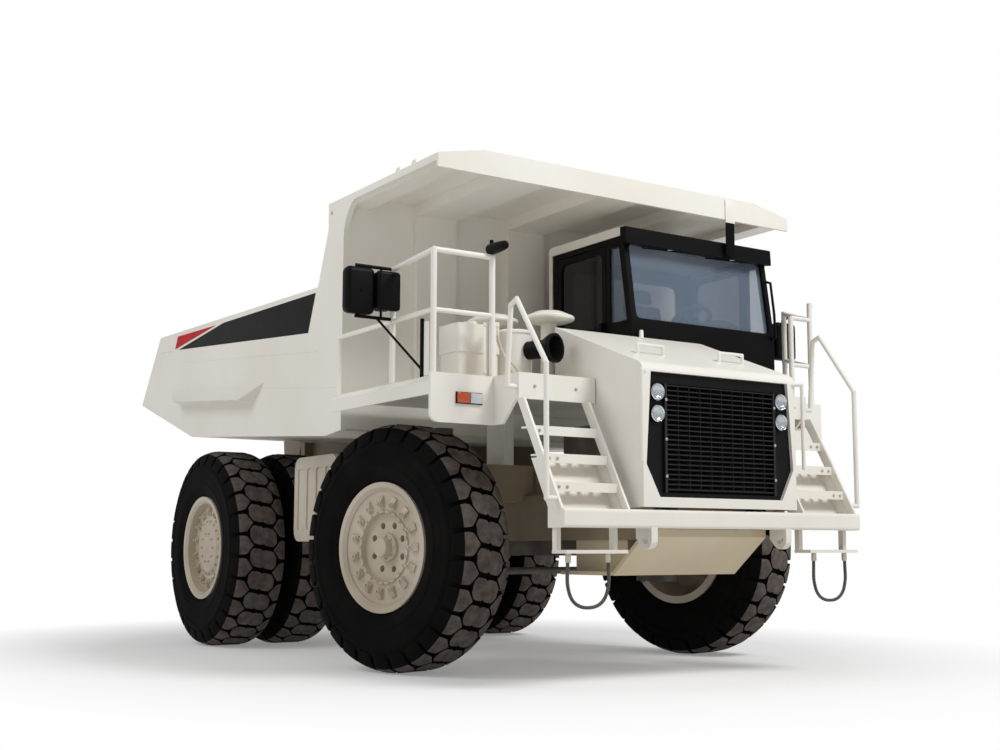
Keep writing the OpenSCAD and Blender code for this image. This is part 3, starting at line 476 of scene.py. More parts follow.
band_black = film("band_black", linear(15, 14, 15), linear(23, 22, 22))
band_red = film("band_red", linear(196, 26, 34), linear(170, 24, 30))
plastic = sprayed_paint("dash_plastic", linear(58, 58, 60), linear(48, 48, 50), linear(80, 76, 70), 2.4)
louvre = Finish("grille_black", 0.45)
louvre.shader.inputs["Specular IOR Level"].default_value = 0.15
grille_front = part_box("grille")[1].x
# The blades' front edges are painted a lighter grey than the rest of the grille.
front_edge_tone = louvre.span(louvre.axis("X"), grille_front - 0.014, grille_front - 0.005)
tone = louvre.blend(louvre.noise(9.0, 4.0), linear(11, 11, 12), linear(20, 20, 21))
louvre.colour(louvre.blend(front_edge_tone, tone, linear(46, 46, 48)))
print("films", band_black.name, band_red.name, "grille front at", round(grille_front, 3))

# %% [markdown]
# ### Giving the CAD nodes their finish
# A CAD node whose shape is right keeps its mesh and only gets a new material. The record
# says which of its slots each node uses, but a few nodes need their own finish, so a plain
# table by name is the clearest. All other nodes are cream.

# %% Assign finishes to the CAD nodes
by_finish = {
    casting.material: ["transmission", "driveshaft", "engine", "front_struts", "rear_suspension",
                       "knuckle_left", "knuckle_right", "tie_rod"],
    chrome.material: ["hoist_rods", "hoist_stages"],
    louvre.material: ["grille"],
    satin_black: ["mirrors", "cab_frame", "door_left", "door_right", "intake_hose"],
    glass: ["cab_glass"],
    door_glass: ["door_glass_left", "door_glass_right"],
    fins.material: ["radiator"],
    plastic: ["cab_floor", "cab_controls"],
    dusty_paint: ["fuel_tank", "hydraulic_tank", "rim_front_left", "rim_front_right", "rims_rear_left",
                  "rims_rear_right"],
    guard_paint: ["belly_guard"],
    # Frame, axle, bolsters and hoist barrels take the dark coat: grime plus painted shade.
    frame_grime_and_shade: ["frame_rails", "rear_axle", "dump_bolsters", "hoist_barrels"],
    deck_paint: ["deck_right", "deck_left", "lower_steps", "ladders"],
}
chosen = {name: finish for finish, names in by_finish.items() for name in names}
for name, piece in nodes.items():
    for place in piece.material_slots:
        place.material = chosen.get(name, paint)
print("finished nodes", len(nodes), "with their own finish", len(chosen))

# %% [markdown]
# ## Tyres
# Each tyre is a carcass with rows of thick blocks: slanting ones in the middle and five-sided
# ones that wrap over each shoulder. The carcass is a closed section spun round the axle. One
# block of each kind is shaped on a small grid that is bent to the drum, given its thickness
# and a rounded edge, and then copied 28 times round.

# %% Spin the carcass
lug_count = 28
crown_radius = 1.020
tread_floor = 0.975
half_section = [(0.5005, 0.236), (0.537, 0.238), (0.556, 0.258), (0.585, 0.272), (0.628, 0.2795),
                (0.634, 0.2835), (0.668, 0.2865), (0.674, 0.2825), (0.712, 0.2855), (0.760, 0.2865),
                (0.806, 0.2845), (0.812, 0.2875), (0.838, 0.2855), (0.843, 0.2815), (0.872, 0.274),
                (0.898, 0.256), (0.930, 0.236), (0.955, 0.205), (0.970, 0.150), (tread_floor, 0.060)]
section = half_section + [(r, -u) for r, u in reversed(half_section)]
carcass = turned("carcass", section, 4 * lug_count)
print("carcass faces", len(carcass.data.polygons))


# %% Bend one tread block to the drum
block_slant = 0.20
block_edge = 0.006
worn_facing = 0.72


def tread_block(name, stations, depth, slant=0.0):
    """stations: (place across the tread, radius, half length round the tyre)."""
    deselect()
    last = len(stations) - 1
    bpy.ops.mesh.primitive_grid_add(x_subdivisions=last, y_subdivisions=4, size=1)
    piece = bpy.context.active_object
    piece.name = name
    for vertex in piece.data.vertices:
        across, radius, half = stations[round((vertex.co.x + 0.5) * last)]
        turn = (vertex.co.y * 2 * half + slant * across) / crown_radius
        vertex.co = (radius * math.cos(turn), radius * math.sin(turn), across)
    piece.data.update()
    middle = piece.data.polygons[len(piece.data.polygons) // 2]
    if middle.normal.x < 0:
        piece.data.flip_normals()
    modify(piece, "SOLIDIFY", thickness=depth, offset=-1.0)
    modify(piece, "BEVEL", width=block_edge, segments=2, limit_method="ANGLE", angle_limit=math.radians(42))
    piece.data.materials.append(side_rubber)
    piece.data.materials.append(worn_rubber)
    for face in piece.data.polygons:
        out = Vector((face.center.x, face.center.y, 0)).normalized()
        worn = face.normal.dot(out) > worn_facing and face.center.xy.length > tread_floor
        face.material_index = 1 if worn else 0
    return piece


half_block = [(u, crown_radius, half) for u, half in (
    (0.008, 0.083), (0.017, 0.094), (0.060, 0.095), (0.100, 0.092), (0.112, 0.082), (0.128, 0.061),
    (0.142, 0.040))]
whole_block = [(-u, r, half) for u, r, half in reversed(half_block)] + half_block
middle_block = tread_block("middle_block", whole_block, 0.052, block_slant)
shoulder = [(0.110, crown_radius, 0.008), (0.128, 1.019, 0.028), (0.150, 1.017, 0.058),
            (0.172, 1.013, 0.088), (0.200, 1.004, 0.096), (0.243, 0.984, 0.097), (0.261, 0.940, 0.095),
            (0.2735, 0.903, 0.091), (0.282, 0.868, 0.078)]
shoulder_block = tread_block("shoulder_block", shoulder, 0.050)
print("block faces", len(middle_block.data.polygons), len(shoulder_block.data.polygons))

# %% Set the blocks round the carcass
step = 2 * math.pi / lug_count
rows_meet = 0.130
shoulder_turn = block_slant * rows_meet / crown_radius


def round_tyre(start):
    return [Matrix.Rotation(start + i * step, 4, "Z") for i in range(lug_count)]


other_shoulder = copy_at(shoulder_block, Matrix.Scale(-1, 4, (0, 0, 1)))
carcass.data.materials.append(side_rubber)
rows = [pattern("row_middle", middle_block, round_tyre(step / 2)),
        pattern("row_outer", shoulder_block, round_tyre(shoulder_turn)),
        pattern("row_inner", other_shoulder, round_tyre(-shoulder_turn))]
tyre_master = join("tyre_master", [carcass] + rows)
print("tyre triangles", sum(len(face.vertices) - 2 for face in tyre_master.data.polygons))


# %% Put the six tyres on their wheels
outer_tyre_y = 1.72
twins = (0.0, 0.68)


def wheel_place(joint, side, inset=None):
    """A front wheel stands at its joint, a rear one at its own place along the axle."""
    spot = Vector(joints[joint]["pos_m"])
    lean = joints[joint]["axis"]
    steer = Matrix.Rotation(math.atan2(-lean[0], lean[1]), 4, "Z")
    if inset is not None:
        spot.y = side * (outer_tyre_y - inset)
    return Matrix.Translation(spot) @ steer @ Matrix.Rotation(-side * math.pi / 2, 4, "X")


wheels = {
    "wheel_front_left": ("tyre_front_left", [wheel_place("spin_front_left", 1)]),
    "wheel_front_right": ("tyre_front_right", [wheel_place("spin_front_right", -1)]),
    "wheels_rear_left": ("tyres_rear_left", [wheel_place("spin_rear_left", 1, inset) for inset in twins]),
    "wheels_rear_right": ("tyres_rear_right", [wheel_place("spin_rear_right", -1, inset) for inset in twins]),
}
for body, (node, places) in wheels.items():
    tyres = join(node + "_tread", [copy_at(tyre_master, place) for place in places])
    dress(tyres, None, body, 30)
    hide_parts(node)
bpy.data.objects.remove(tyre_master)
print("tyres placed on", list(wheels))

# %% [markdown]
# ## Wheel fastenings
# Wedge clamps hold each rim, and every clamp has a stud with a heavy nut. A hexagon is
# extruded for the nut, its top is inset and extruded again for the stud, and the result is
# repeated round each wheel. The rear hub cover and the front hub have rings of smaller bolts.

# %% Model a nut with its stud
def hex_nut(name, across, height, stud):
    points = [(across * math.cos(i * math.pi / 3), across * math.sin(i * math.pi / 3), 0.0) for i in range(6)]
    piece = thicken(outline(name, points), (0, 0, height))
    choose_faces(piece, lambda face: face.normal.z > 0.9)
    bpy.ops.mesh.inset(thickness=across * 0.42)
    bpy.ops.mesh.extrude_region_move(TRANSFORM_OT_translate={"value": (0, 0, stud)})
    bpy.ops.object.mode_set(mode="OBJECT")
    return modify(piece, "BEVEL", width=across * 0.09, segments=1, limit_method="ANGLE")


def ring(radius, height, count, start=0.0):
    return [Matrix.Rotation(start + i * 2 * math.pi / count, 4, "Z") @ Matrix.Translation((radius, 0, height))
            for i in range(count)]


clamp_nut = (0.024, 0.020, 0.022)
cap_bolt = (0.012, 0.011, 0.006)
front_rings = [(clamp_nut, ring(0.358, 0.238, 15)), ((0.013, 0.012, 0.008), ring(0.292, 0.228, 24)),
               (cap_bolt, ring(0.095, 0.200, 8))]
rear_rings = [(clamp_nut, ring(0.368, 0.181, 15)), ((0.014, 0.012, 0.008), ring(0.275, 0.186, 18)),
              (cap_bolt, ring(0.150, 0.202, 10))]
for body, (node, places) in wheels.items():
    sets = [pattern("nuts", hex_nut("nut", *size), [places[0] @ spot for spot in spots])
            for size, spots in (front_rings if "front" in body else rear_rings)]
    dress(join(body + "_nuts", sets), dusty_paint, body, 30)
print("nut rings on four wheels")

# %% [markdown]
# ## Colour band on the body
# A black band with a red wedge runs along each side of the tipping body. On the truck it is a
# film, so here it is a thin plate just proud of the side, cut to the band's outline and
# extruded by a millimetre. It rides with the body when that tips.

# %% Lay the band on both sides
body_side = abs(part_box("dump_headboard")[0].y) + 0.050
film_proud = 0.0016
film_thick = 0.0012
both = (-1, 1)
side_name = {-1: "right", 1: "left"}


def band_plate(name, points, side):
    face = side * (body_side + film_proud)
    piece = outline(name, [from_axle(x, face, z) for x, z in points])
    return thicken(piece, (0, -side * film_thick, 0))


black_band = [(-4.735, 3.262), (-3.382, 3.384), (-1.141, 3.345), (-1.290, 2.990)]
red_wedge = [(-4.850, 3.279), (-4.770, 3.420), (-3.600, 3.388)]
for side in both:
    dress(band_plate("band_black_" + side_name[side], black_band, side), band_black, "dump_body")
    dress(band_plate("band_red_" + side_name[side], red_wedge, side), band_red, "dump_body")
print("bands at y", round(body_side, 3))

# %% [markdown]
# ## Lamps
# Each headlamp is a silvered bowl in a round bezel with a bulb and a domed glass. Its profile
# is drawn once from the middle to the rim and spun, so bowl and bezel are one surface. The
# turn lamps are boxes with an amber and a white half, and the work lamp is a long round can
# with a screw knob.

# %% Spin the headlamp
forward = Matrix.Rotation(math.pi / 2, 4, "Y")


def paint_faces(piece, first, second, rule):
    """Faces whose centre meets the rule get the second finish, all others the first."""
    piece.data.materials.append(first)
    piece.data.materials.append(second)
    for face in piece.data.polygons:
        face.material_index = 1 if rule(face.center) else 0


bowl = turned("bowl", [(0, 0), (0.066, 0), (0.066, 0.028), (0.061, 0.034), (0.057, 0.031), (0.050, 0.017),
                       (0.032, 0.007), (0.012, 0.004), (0, 0.004)], 48, False)
paint_faces(bowl, satin_black, bright.material, lambda spot: spot.xy.length < 0.064 and spot.z > 0.003)
bulb = turned("bulb", [(0, 0.003), (0.008, 0.003), (0.008, 0.014), (0.005, 0.020), (0, 0.021)], 16, False)
bulb.data.materials.append(clear_lens)
dome = turned("dome", [(0.0565, 0.030), (0.044, 0.0325), (0.024, 0.0335), (0, 0.034)], 48, False)
modify(dome, "SOLIDIFY", thickness=0.0015, offset=-1.0)
dome.data.materials.append(lamp_glass)
headlamp = join("headlamp", [bowl, bulb, dome])
print("headlamp faces", len(headlamp.data.polygons))

# %% Set the headlamps, turn lamps, work lamp and tail lamps
lamp_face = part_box("grille")[1].x - 0.025
front_lamps = pattern("front_lamps", headlamp, [Matrix.Translation((lamp_face, y, z)) @ forward
                                                for y in (-0.65, 0.65) for z in (2.025, 2.190)])
apron_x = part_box("deck_right")[1].x - 0.35
lens_edge = 0.006
turn_parts = ((satin_black, 1.640, 1.880, 0.0002, 0.012), (amber_lens, 1.764, 1.874, 0.010, 0.026),
              (clear_lens, 1.646, 1.756, 0.010, 0.026))
tail_parts = ((satin_black, 1.140, 1.290, -4.784, -4.7602), (red_lens, 1.190, 1.284, -4.800, -4.782),
              (amber_lens, 1.146, 1.184, -4.800, -4.782))
boxes = []
for side in both:
    for finish, inner, outer, back, front in turn_parts:
        near, far = sorted((side * inner, side * outer))
        rise = 0.0 if finish is satin_black else lens_edge
        boxes.append(block("turn", (apron_x + back, near, 2.110 + rise),
                           (apron_x + front, far, 2.200 - rise), 0.003, 2, finish))
    for finish, low, high, back, front in tail_parts:
        near, far = sorted((side * 0.390, side * 0.490))
        boxes.append(block("tail", from_axle(back, near, low), from_axle(front, far, high), 0.003, 2, finish))
can = turned("can", [(0, -0.145), (0.020, -0.142), (0.033, -0.128), (0.040, -0.085), (0.045, -0.010),
                     (0.045, 0.090), (0.041, 0.094), (0.040, 0.086), (0, 0.083)], 32, False)
paint_faces(can, satin_black, clear_lens, lambda spot: spot.z > 0.080 and spot.xy.length < 0.0395)
screw = turned("screw", [(0, 0.0), (0.017, 0.0), (0.017, 0.030), (0.012, 0.036), (0, 0.037)], 16, False)
screw.data.materials.append(satin_black)
lamp_top = Matrix.Translation((apron_x, -1.510, 3.3672))
work_lamp = join("work_lamp", [
    pattern("can", can, [lamp_top @ Matrix.Rotation(-math.pi / 2, 4, "Y")]),
    pattern("screw", screw, [lamp_top @ Matrix.Translation((-0.070, 0, 0.040))])])
lamp_set = dress(join("lamp_set", [front_lamps, work_lamp] + boxes), None, "chassis", 30)
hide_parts("lamps")
print("lamps", len(lamp_set.data.polygons), "faces, aprons at", round(apron_x, 3))

# %% [markdown]
# ## Operator's seat
# The seat is foam in a woven cover, so it must not look like a box. Each pad starts as a
# slightly small rounded block that is remeshed to even faces. A cloth simulation then blows
# it up with a little pressure while its resting side is pinned, so the sides pull in and the
# middle crowns. The movement is capped, and a sewn welt is laid on the result.

# %% Blow up one pad
stuffing_frames = 20


def stuffed(name, low, high, cap):
    pad = block(name, low, high, 0.034, 4)
    modify(pad, "REMESH", mode="VOXEL", voxel_size=0.010)
    resting = pad.vertex_groups.new(name="resting")
    resting.add([v.index for v in pad.data.vertices if v.co.z < low[2] + 0.014], 1.0, "REPLACE")
    start = [v.co.copy() for v in pad.data.vertices]
    modifier = pad.modifiers.new("stuffing", "CLOTH")
    modifier.settings.quality = 5
    modifier.settings.use_pressure = True
    modifier.settings.uniform_pressure_force = 4.0
    modifier.settings.vertex_group_mass = "resting"
    modifier.settings.effector_weights.gravity = 0.0
    for number in range(1, stuffing_frames + 1):
        scene.frame_set(number)
    activate(pad)
    bpy.ops.object.modifier_apply(modifier="stuffing")
    scene.frame_set(1)
    for vertex, before in zip(pad.data.vertices, start):
        move = vertex.co - before
        if move.length > cap:
            vertex.co = before + move * (cap / move.length)
    pad.vertex_groups.clear()
    modify(pad, "SUBSURF", levels=1, render_levels=1)
    pad.data.materials.append(cloth.material)
    return pad


# %% Sew a welt round a pad
def tube(name, points, radius, closed=False, sides=2):
    data = bpy.data.curves.new(name, "CURVE")
    data.dimensions = "3D"
    line = data.splines.new("POLY")
    line.points.add(len(points) - 1)
    for place, point in zip(line.points, points):
        place.co = (*point, 1.0)
    line.use_cyclic_u = closed
    data.bevel_depth = radius
    data.bevel_resolution = sides
    data.use_fill_caps = not closed
    piece = bpy.data.objects.new(name, data)
    scene.collection.objects.link(piece)
    activate(piece)
    bpy.ops.object.convert(target="MESH")
    return bpy.context.active_object


def welt(pad, low, high, height):
    """A cord along a rounded rectangle that is pulled onto the pad."""
    middle = [(a + b) / 2 for a, b in zip(low, high)]
    half = [(b - a) / 2 for a, b in zip(low, high)]
    stitches = 72
    square = 7
    points = []
    for i in range(stitches):
        turn = 2 * math.pi * i / stitches
        x, y = math.cos(turn), math.sin(turn)
        reach = 1 / (abs(x) ** square + abs(y) ** square) ** (1 / square)
        aim = Vector((middle[0] + half[0] * reach * x, middle[1] + half[1] * reach * y, height))
        points.append(pad.closest_point_on_mesh(aim)[1])
    piece = tube(pad.name + "_welt", points, 0.0045, True)
    piece.data.materials.append(satin_black)
    return piece


# %% Cushion, back and headrest
seat_x = axle_x + 0.10
seat_y = 1.0
lean_back = Matrix.Rotation(math.radians(-97), 4, "Y")
pads = {
    "seat_cushion": ((0.006, -0.240, 0.0), (0.500, 0.240, 0.120),
                     Matrix.Translation((seat_x, seat_y, 2.722)), 0.020),
    "seat_back": ((0.0, -0.228, 0.0), (0.590, 0.228, 0.080),
                  Matrix.Translation((seat_x - 0.012, seat_y, 2.775)) @ lean_back, 0.018),
    "seat_headrest": ((0.0, -0.125, 0.0), (0.140, 0.125, 0.055),
                      Matrix.Translation((seat_x - 0.082, seat_y, 3.372)) @ lean_back, 0.012),
}
for name, (low, high, place, cap) in pads.items():
    pad = stuffed(name, low, high, cap)
    edging = welt(pad, low, high, high[2] * 0.72)
    for piece in (pad, edging):
        piece.data.transform(place)
        dress(piece, None, "chassis", 60)
    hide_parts("operator_seat")
    print(name, len(pad.data.polygons), "faces")

# %% Seat base with its bellows
def seat_block(name, back, front, half, low, high, soften, finish):
    corners = (seat_x + back, seat_y - half, low), (seat_x + front, seat_y + half, high)
    return block(name, *corners, soften, 3, finish)


base = seat_block("seat_base", 0.10, 0.40, 0.150, 2.381, 2.440, 0.010, plastic)
pan = seat_block("seat_pan", 0.02, 0.47, 0.225, 2.690, 2.720, 0.010, plastic)
fold = seat_block("fold", 0.12, 0.38, 0.135, 2.440, 2.490, 0.022, side_rubber)
modify(fold, "ARRAY", count=5, use_relative_offset=False, use_constant_offset=True,
       constant_offset_displace=(0, 0, 0.050))
mount = dress(join("seat_mount", [base, pan, fold]), None, "chassis", 40)
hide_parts("operator_seat")
print("seat mount", len(mount.data.polygons), "faces")

# %% [markdown]
# ## Wire rope steps
# Below the bumper's steps hang loops of wire rope, the lowest foothold. A rope is six strands
# laid round a core, so six thin tubes are wound round one smooth line at the same pitch. Each
# end sits in a pressed sleeve under the step plate.

# %% Lay the strands round the loop
def smooth_line(points, count):
    """A line that runs smoothly through the points, with count steps from each to the next."""
    ends = [points[0] * 2 - points[1]] + points + [points[-1] * 2 - points[-2]]
    line = []
    for i in range(len(points) - 1):
        a, b, c, d = ends[i:i + 4]
        for k in range(count):
            t = k / count
            bend = 2 * b + (c - a) * t + (2 * a - 5 * b + 4 * c - d) * t * t
            line.append(0.5 * (bend + (3 * b - a - 3 * c + d) * t ** 3))
    return line + [points[-1].copy()]


def run_along(line):
    run = [0.0]
    for a, b in zip(line, line[1:]):
        run.append(run[-1] + (b - a).length)
    return run


rope_x = 2.085
rope_y = 1.255
rope_half = 0.180
strand_count = 6
strand_ring = 0.0088
strand_pitch = 0.16
rope_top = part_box("step_stirrups")[1].z
half_loop = [(rope_half, 0.0), (0.186, -0.115), (0.185, -0.230), (0.146, -0.330), (0.062, -0.383)]
sleeve_wall = [(0.0145, 0.0), (0.021, 0.0), (0.021, -0.060), (0.018, -0.066), (0.0145, -0.066)]


def strand(line, run, start):
    """The line's points moved out on a circle that turns once in every pitch."""
    points = []
    for i, spot in enumerate(line):
        ahead = (line[min(i + 1, len(line) - 1)] - line[max(i - 1, 0)]).normalized()
        side_way = Vector((1, 0, 0))
        up_way = ahead.cross(side_way).normalized()
        turn = 2 * math.pi * (start + run[i] / strand_pitch)
        points.append(spot + (side_way * math.cos(turn) + up_way * math.sin(turn)) * strand_ring)
    return tube("strand", points, 0.0050, False, 1)


for side in both:
    loop = [Vector(from_axle(rope_x, side * rope_y + y, rope_top + z)) for y, z in half_loop]
    loop += [Vector(from_axle(rope_x, side * rope_y - y, rope_top + z)) for y, z in reversed(half_loop)]
    line = smooth_line(loop, 16)
    run = run_along(line)
    strands = [strand(line, run, k / strand_count) for k in range(strand_count)]
    core = tube("core", line, 0.0062, False, 1)
    wire = dress(join("rope_step_" + side_name[side], strands + [core]), rope.material, "chassis", 60)
    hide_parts("step_stirrups")
    places = [at(rope_x, side * rope_y + y, rope_top) for y in (-rope_half, rope_half)]
    sleeves = pattern("rope_sleeves_" + side_name[side], turned("sleeve", sleeve_wall, 20), places)
    dress(sleeves, bolt_steel.material, "chassis", 40)
    print("rope", side_name[side], round(run[-1], 3), "m,", len(wire.data.polygons), "faces")

# %% [markdown]
# ## Hoses at the air cleaner
# Two thin pale hoses come down from the rail plate to the deck beside the air cleaner. Each is
# a round tube along one smooth line that leaves its clip straight down, bows out under its own
# weight and ends in a grommet on the deck plate.

# %% Hang the two hoses
hose_skin = film("pale_hose", linear(214, 208, 194), linear(188, 181, 166))
hose_radius = 0.0085
deck_top = 2.3203
hose_routes = {
    "cleaner_hose_front": [(1.150, -1.440, 2.770), (1.152, -1.436, 2.700), (1.168, -1.412, 2.590),
                           (1.190, -1.372, 2.480), (1.206, -1.330, 2.395), (1.212, -1.312, 2.322)],
    "cleaner_hose_back": [(1.130, -1.440, 2.770), (1.132, -1.436, 2.690), (1.150, -1.404, 2.580),
                          (1.184, -1.340, 2.490), (1.214, -1.276, 2.400), (1.222, -1.256, 2.322)],
}
for name, route in hose_routes.items():
    line = smooth_line([Vector(from_axle(*spot)) for spot in route], 8)
    hose = dress(tube(name, line, hose_radius, False, 3), hose_skin, "chassis", 60)
    run = run_along(line)[-1]
    print(name, round(run, 3), "m")
grommet = turned("grommet", [(0.0095, 0.0), (0.021, 0.0), (0.019, 0.009), (0.0095, 0.012)], 20)
feet = [at(route[-1][0], route[-1][1], deck_top) for route in hose_routes.values()]
dress(pattern("hose_grommets", grommet, feet), side_rubber, "chassis", 40)

# %% [markdown]
# ## Small fittings
# Bolt heads, rail plates, lifting eyes and weld seams tell the size of a machine. They are
# modelled once and set in place by a list of spots: a hexagon head for every bolt, a thin
# round bead for a weld, and a small block for the bracket of the canopy's rubber strip.

# %% Bolt heads on the grille, landings and treads
bolts = [at(2.170, side * 0.570, z) @ forward for side in both for z in (1.553, 1.833, 2.136)]
bolts += [at(1.600, side * y, 2.240) @ forward for side in both for y in (0.998, 1.388)]
for z, nose in ((1.4932, 2.0246), (1.7074, 1.9022), (1.9216, 1.7798)):
    bolts += [at(nose, side * y, z - 0.036) @ forward for side in both for y in (1.395, 1.470)]
heads = pattern("front_bolts", hex_nut("head", 0.013, 0.007, 0.004), bolts)
dress(heads, bolt_steel.material, "chassis", 30)
print("bolts", len(bolts))

# %% Strip bracket, lifting eyes and weld seams on the tipping body
strip_low, strip_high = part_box("canopy_strip")
flap = block("canopy_flap", (strip_low.x, 1.127, strip_low.z), (strip_high.x, 1.233, 3.990), 0.002)
dress(flap, side_rubber, "dump_body")
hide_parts("canopy_strip")
bracket_x = strip_high.x + 0.004
bracket = block("strip_bracket", (strip_low.x, 1.123, 3.982), (bracket_x, 1.237, strip_high.z), 0.0015)
rivet = turned("rivet", [(0, 0), (0.007, 0), (0.0055, 0.003), (0, 0.004)], 12, False)
rivets = pattern("rivets", rivet, [Matrix.Translation((bracket_x, y, 4.0)) @ forward for y in (1.150, 1.210)])
eye = turned("eye", [(0.022, -0.008), (0.040, -0.008), (0.040, 0.008), (0.022, 0.008)], 28)
modify(eye, "BEVEL", width=0.003, segments=2, limit_method="ANGLE")
upright = Matrix.Rotation(math.pi / 2, 4, "X")
eyes = pattern("eyes", eye, [at(x, side * 1.86, 4.158) @ upright for x in (0.276, 0.547) for side in both])
dress(join("canopy_fittings", [bracket, rivets, eyes]), paint, "dump_body", 35)
bead_radius = 0.006
seam_lines = ([(-5.36, 3.300), (-4.86, 3.257)], [(-4.70, 3.110), (-1.10, 2.796)],
              [(-2.50, 2.596), (-0.70, 2.428)])
seams = [tube("bead", [from_axle(x, side * body_side, z) for x, z in line], bead_radius, False, 1)
         for side in both for line in seam_lines]
dress(join("side_seams", seams), paint, "dump_body", 60)
print("seams", len(seams))

# %% Plates at the feet of the right rail
plates = [block("plate", from_axle(1.060, -2.052, 2.332), from_axle(1.128, -2.044, 2.750), 0.002),
          block("plate", from_axle(1.156, -1.572, 2.332), from_axle(1.164, -1.452, 2.785), 0.002)]
spots = [at(1.1635, y, z) @ forward for y in (-1.556, -1.468) for z in (2.380, 2.755)]
plates.append(pattern("plate_bolts", hex_nut("head", 0.011, 0.006, 0.004), spots))
plates.append(block("hose_clip", from_axle(1.114, -1.458, 2.754), from_axle(1.166, -1.424, 2.790), 0.004))
dress(join("rail_plates", plates), paint, "chassis", 30)
print("rail plates with", len(spots), "bolts")

# %% Mirror shells with their glass behind
wrap = 0.004
rim = 0.028
mirror_heads = ((-2.480, -2.235, 2.860, 3.230), (-2.227, -2.085, 2.900, 3.210), (2.220, 2.480, 2.860, 3.230))
shells, silver = [], []
for low_y, high_y, low_z, high_z in mirror_heads:
    shell = block("shell", from_axle(0.505, low_y - wrap, low_z - wrap),
                  from_axle(0.605, high_y + wrap, high_z + wrap), 0.045, 6)
    for vertex in shell.data.vertices:
        if vertex.co.x < axle_x + 0.53:
            vertex.co.x = axle_x + 0.509
    shells.append(shell)
    silver.append(block("silver", from_axle(0.5062, low_y + rim, low_z + rim),
                        from_axle(0.5086, high_y - rim, high_z - rim), 0.001))
    hub = turned("hub", [(0, 0.010), (0.012, 0.010), (0.016, 0.006), (0.016, 0.0), (0, 0.0)], 16, False)
    middle = at(0.604, (low_y + high_y) / 2, (low_z + high_z) / 2)
    shells.append(pattern("hub", hub, [middle @ forward]))
shells.append(block("inner_head", from_axle(0.573, -2.231, 2.896), from_axle(0.645, -2.022, 3.214), 0.030, 5))
dress(join("mirror_shells", shells), satin_black, "chassis", 40)
dress(join("mirror_glass", silver), chrome.material, "chassis", 30)
print("mirrors", len(silver))

# %% Upright wires of the grille screen
wire_gap = 0.112
wire = turned("wire", [(0, 0.0), (0.0025, 0.0), (0.0025, 0.800), (0, 0.800)], 6, False)
places = [Matrix.Translation((grille_front - 0.0015, i * wire_gap, 1.445)) for i in range(-4, 5)]
dress(pattern("grille_screen", wire, places), louvre.material, "chassis", 40)
print("wires", len(places))

# %% [markdown]
# ## Cab fittings
# Two wipers park along the top of the windscreen, a grab rail stands in front of the left
# pillar, a small lamp hangs inside under the roof, and a turned knob stands on the bonnet.
# Wipers and rail are bent rod, so each is a tube along a few points.

# %% Wipers, grab rail, cab lamp and bonnet knob
def wiper(inner, outer):
    """A blade along the glass between two places across the cab, on an arm from above."""
    low = Vector(from_axle(0.972, inner, 3.640))
    high = Vector(from_axle(0.966, outer, 3.668))
    middle = (low + high) / 2
    blade = tube("blade", [low, middle + Vector((-0.004, 0, 0)), high], 0.007, False, 1)
    blade.data.materials.append(side_rubber)
    bends = [middle + Vector((0.012, 0, 0)), middle + Vector((0.030, 0.12, 0.020)),
             high + Vector((0.030, 0.05, 0.050))]
    arm = tube("arm", bends, 0.006, False, 2)
    arm.data.materials.append(bolt_steel.material)
    return [blade, arm]


arms = wiper(0.20, 0.78) + wiper(0.95, 1.53)
dress(join("wipers", arms), None, "chassis", 40)
rail_bends = [(1.030, 2.940), (1.095, 2.960), (1.085, 3.180), (1.045, 3.480), (0.985, 3.500)]
rail = tube("pillar_rail", [from_axle(x, 1.690, z) for x, z in rail_bends], 0.013, False, 3)
dress(rail, satin_black, "chassis", 60)
cab_lamp = block("cab_lamp", from_axle(0.760, 0.800, 3.690), from_axle(0.840, 1.020, 3.730), 0.012, 3)
dress(cab_lamp, clear_lens, "chassis", 40)
knob = turned("knob", [(0, 0.075), (0.014, 0.075), (0.018, 0.066), (0.020, 0.012), (0.030, 0.0), (0, 0.0)],
              20, False)
dress(pattern("hood_stops", knob, [at(1.085, 0.090, 2.806)]), paint, "chassis", 40)
print("cab fittings", len(arms), "wiper pieces")

# %% [markdown]
# ## Light and floor
# Soft studio light keeps the colours as they were mixed: a large key lamp high in front of the
# truck, a weak one from its right, and an even sky. The floor is a plain pale disc that fades
# to white far from the truck and keeps its shadow. It is dimmer where it only throws light
# back than where the camera sees it, so that pale panels don't wash out.

# %% World, lamps and floor
world = bpy.data.worlds.new("soft_sky")
scene.world = world
world.use_nodes = True
tree = world.node_tree
rays = tree.nodes.new("ShaderNodeLightPath")
seen = tree.nodes.new("ShaderNodeMath")
seen.operation = "MAXIMUM"
tree.links.new(rays.outputs["Is Camera Ray"], seen.inputs[0])
tree.links.new(rays.outputs["Is Transmission Ray"], seen.inputs[1])
white_sky = tree.nodes.new("ShaderNodeBackground")
white_sky.inputs["Color"].default_value = (1, 1, 1, 1)
grey_sky = tree.nodes["Background"]
grey_sky.inputs["Color"].default_value = (0.98, 0.99, 1.0, 1)
grey_sky.inputs["Strength"].default_value = 0.42
either = tree.nodes.new("ShaderNodeMixShader")
tree.links.new(seen.outputs[0], either.inputs[0])
tree.links.new(grey_sky.outputs[0], either.inputs[1])
tree.links.new(white_sky.outputs[0], either.inputs[2])
tree.links.new(either.outputs[0], tree.nodes["World Output"].inputs["Surface"])


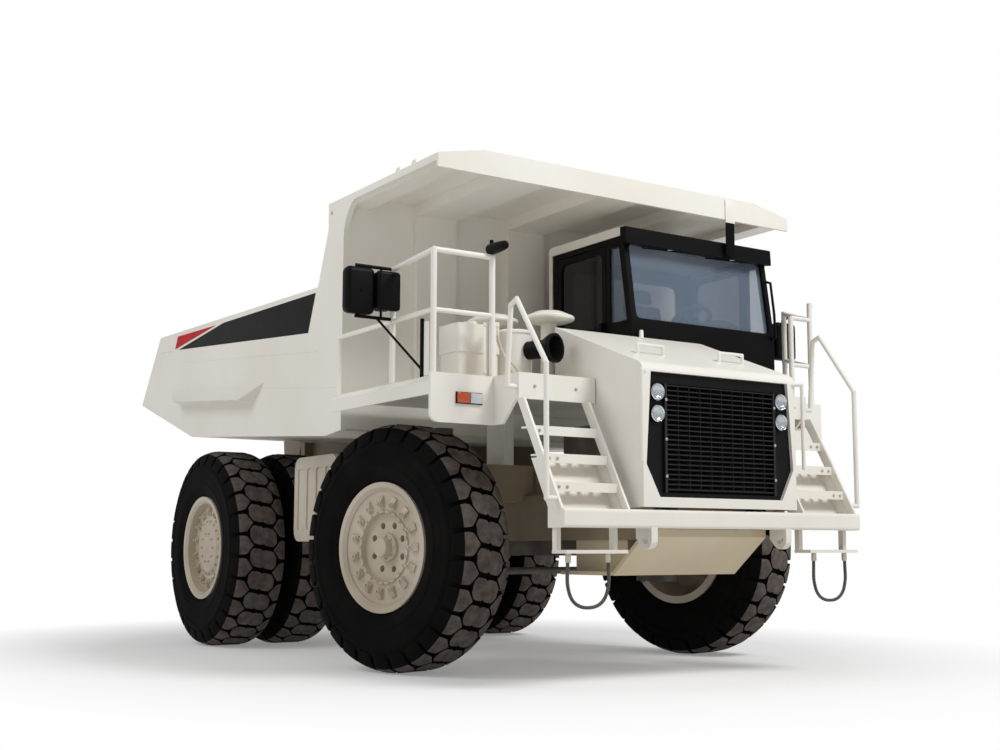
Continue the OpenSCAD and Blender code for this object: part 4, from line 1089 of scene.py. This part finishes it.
def soft_lamp(name, place, target, size, power):
    data = bpy.data.lights.new(name, "AREA")
    data.shape = "DISK"
    data.size = size
    data.energy = power
    lamp = bpy.data.objects.new(name, data)
    lamp.location = place
    lamp.rotation_euler = (Vector(target) - Vector(place)).to_track_quat("-Z", "Y").to_euler()
    scene.collection.objects.link(lamp)


soft_lamp("key_lamp", from_axle(13.0, 5.0, 16.5), from_axle(0.0, 0, 1.8), size=7.0, power=2450)
soft_lamp("side_lamp", from_axle(-2.0, -11.0, 10.0), from_axle(-1.5, 0, 1.8), size=7.0, power=420)
print("lamps", [light.name for light in bpy.data.lights])

# %% Floor
deselect()
bpy.ops.mesh.primitive_circle_add(vertices=96, radius=60, fill_type="NGON")
floor = bpy.context.active_object
floor.name = "studio_floor"
bounce_glow = 0.75
bounce_tone = (0.70, 0.69, 0.67, 1)
near_glow = 0.22
fade_start, fade_end = 3.6, 6.0
pale = Finish("pale_floor", 0.9)
pale.shader.inputs["Specular IOR Level"].default_value = 0.1
spread = pale.node("ShaderNodeVectorMath", operation="LENGTH")
pale.link(pale.point((0.85, 1.1, 1)), spread.inputs[0])
glow = pale.node("ShaderNodeEmission")
path = pale.node("ShaderNodeLightPath")
in_view = pale.math("MAXIMUM", path.outputs["Is Camera Ray"],
                    pale.math("MAXIMUM", path.outputs["Is Glossy Ray"], path.outputs["Is Transmission Ray"]))
pale.link(pale.span(in_view, 0.0, 1.0, bounce_glow, 1.0), glow.inputs["Strength"])
lit = pale.blend(pale.noise(0.5), (0.90, 0.90, 0.90, 1), (0.93, 0.93, 0.93, 1))
pale.colour(pale.blend(in_view, bounce_tone, lit))
fade = pale.node("ShaderNodeMixShader")
pale.link(pale.span(spread.outputs["Value"], fade_start, fade_end, near_glow, 1.0), fade.inputs[0])
pale.link(pale.shader.outputs[0], fade.inputs[1])
pale.link(glow.outputs[0], fade.inputs[2])
pale.link(fade.outputs[0], pale.tree.nodes["Material Output"].inputs["Surface"])
floor.data.materials.append(pale.material)
print("floor", floor.name)
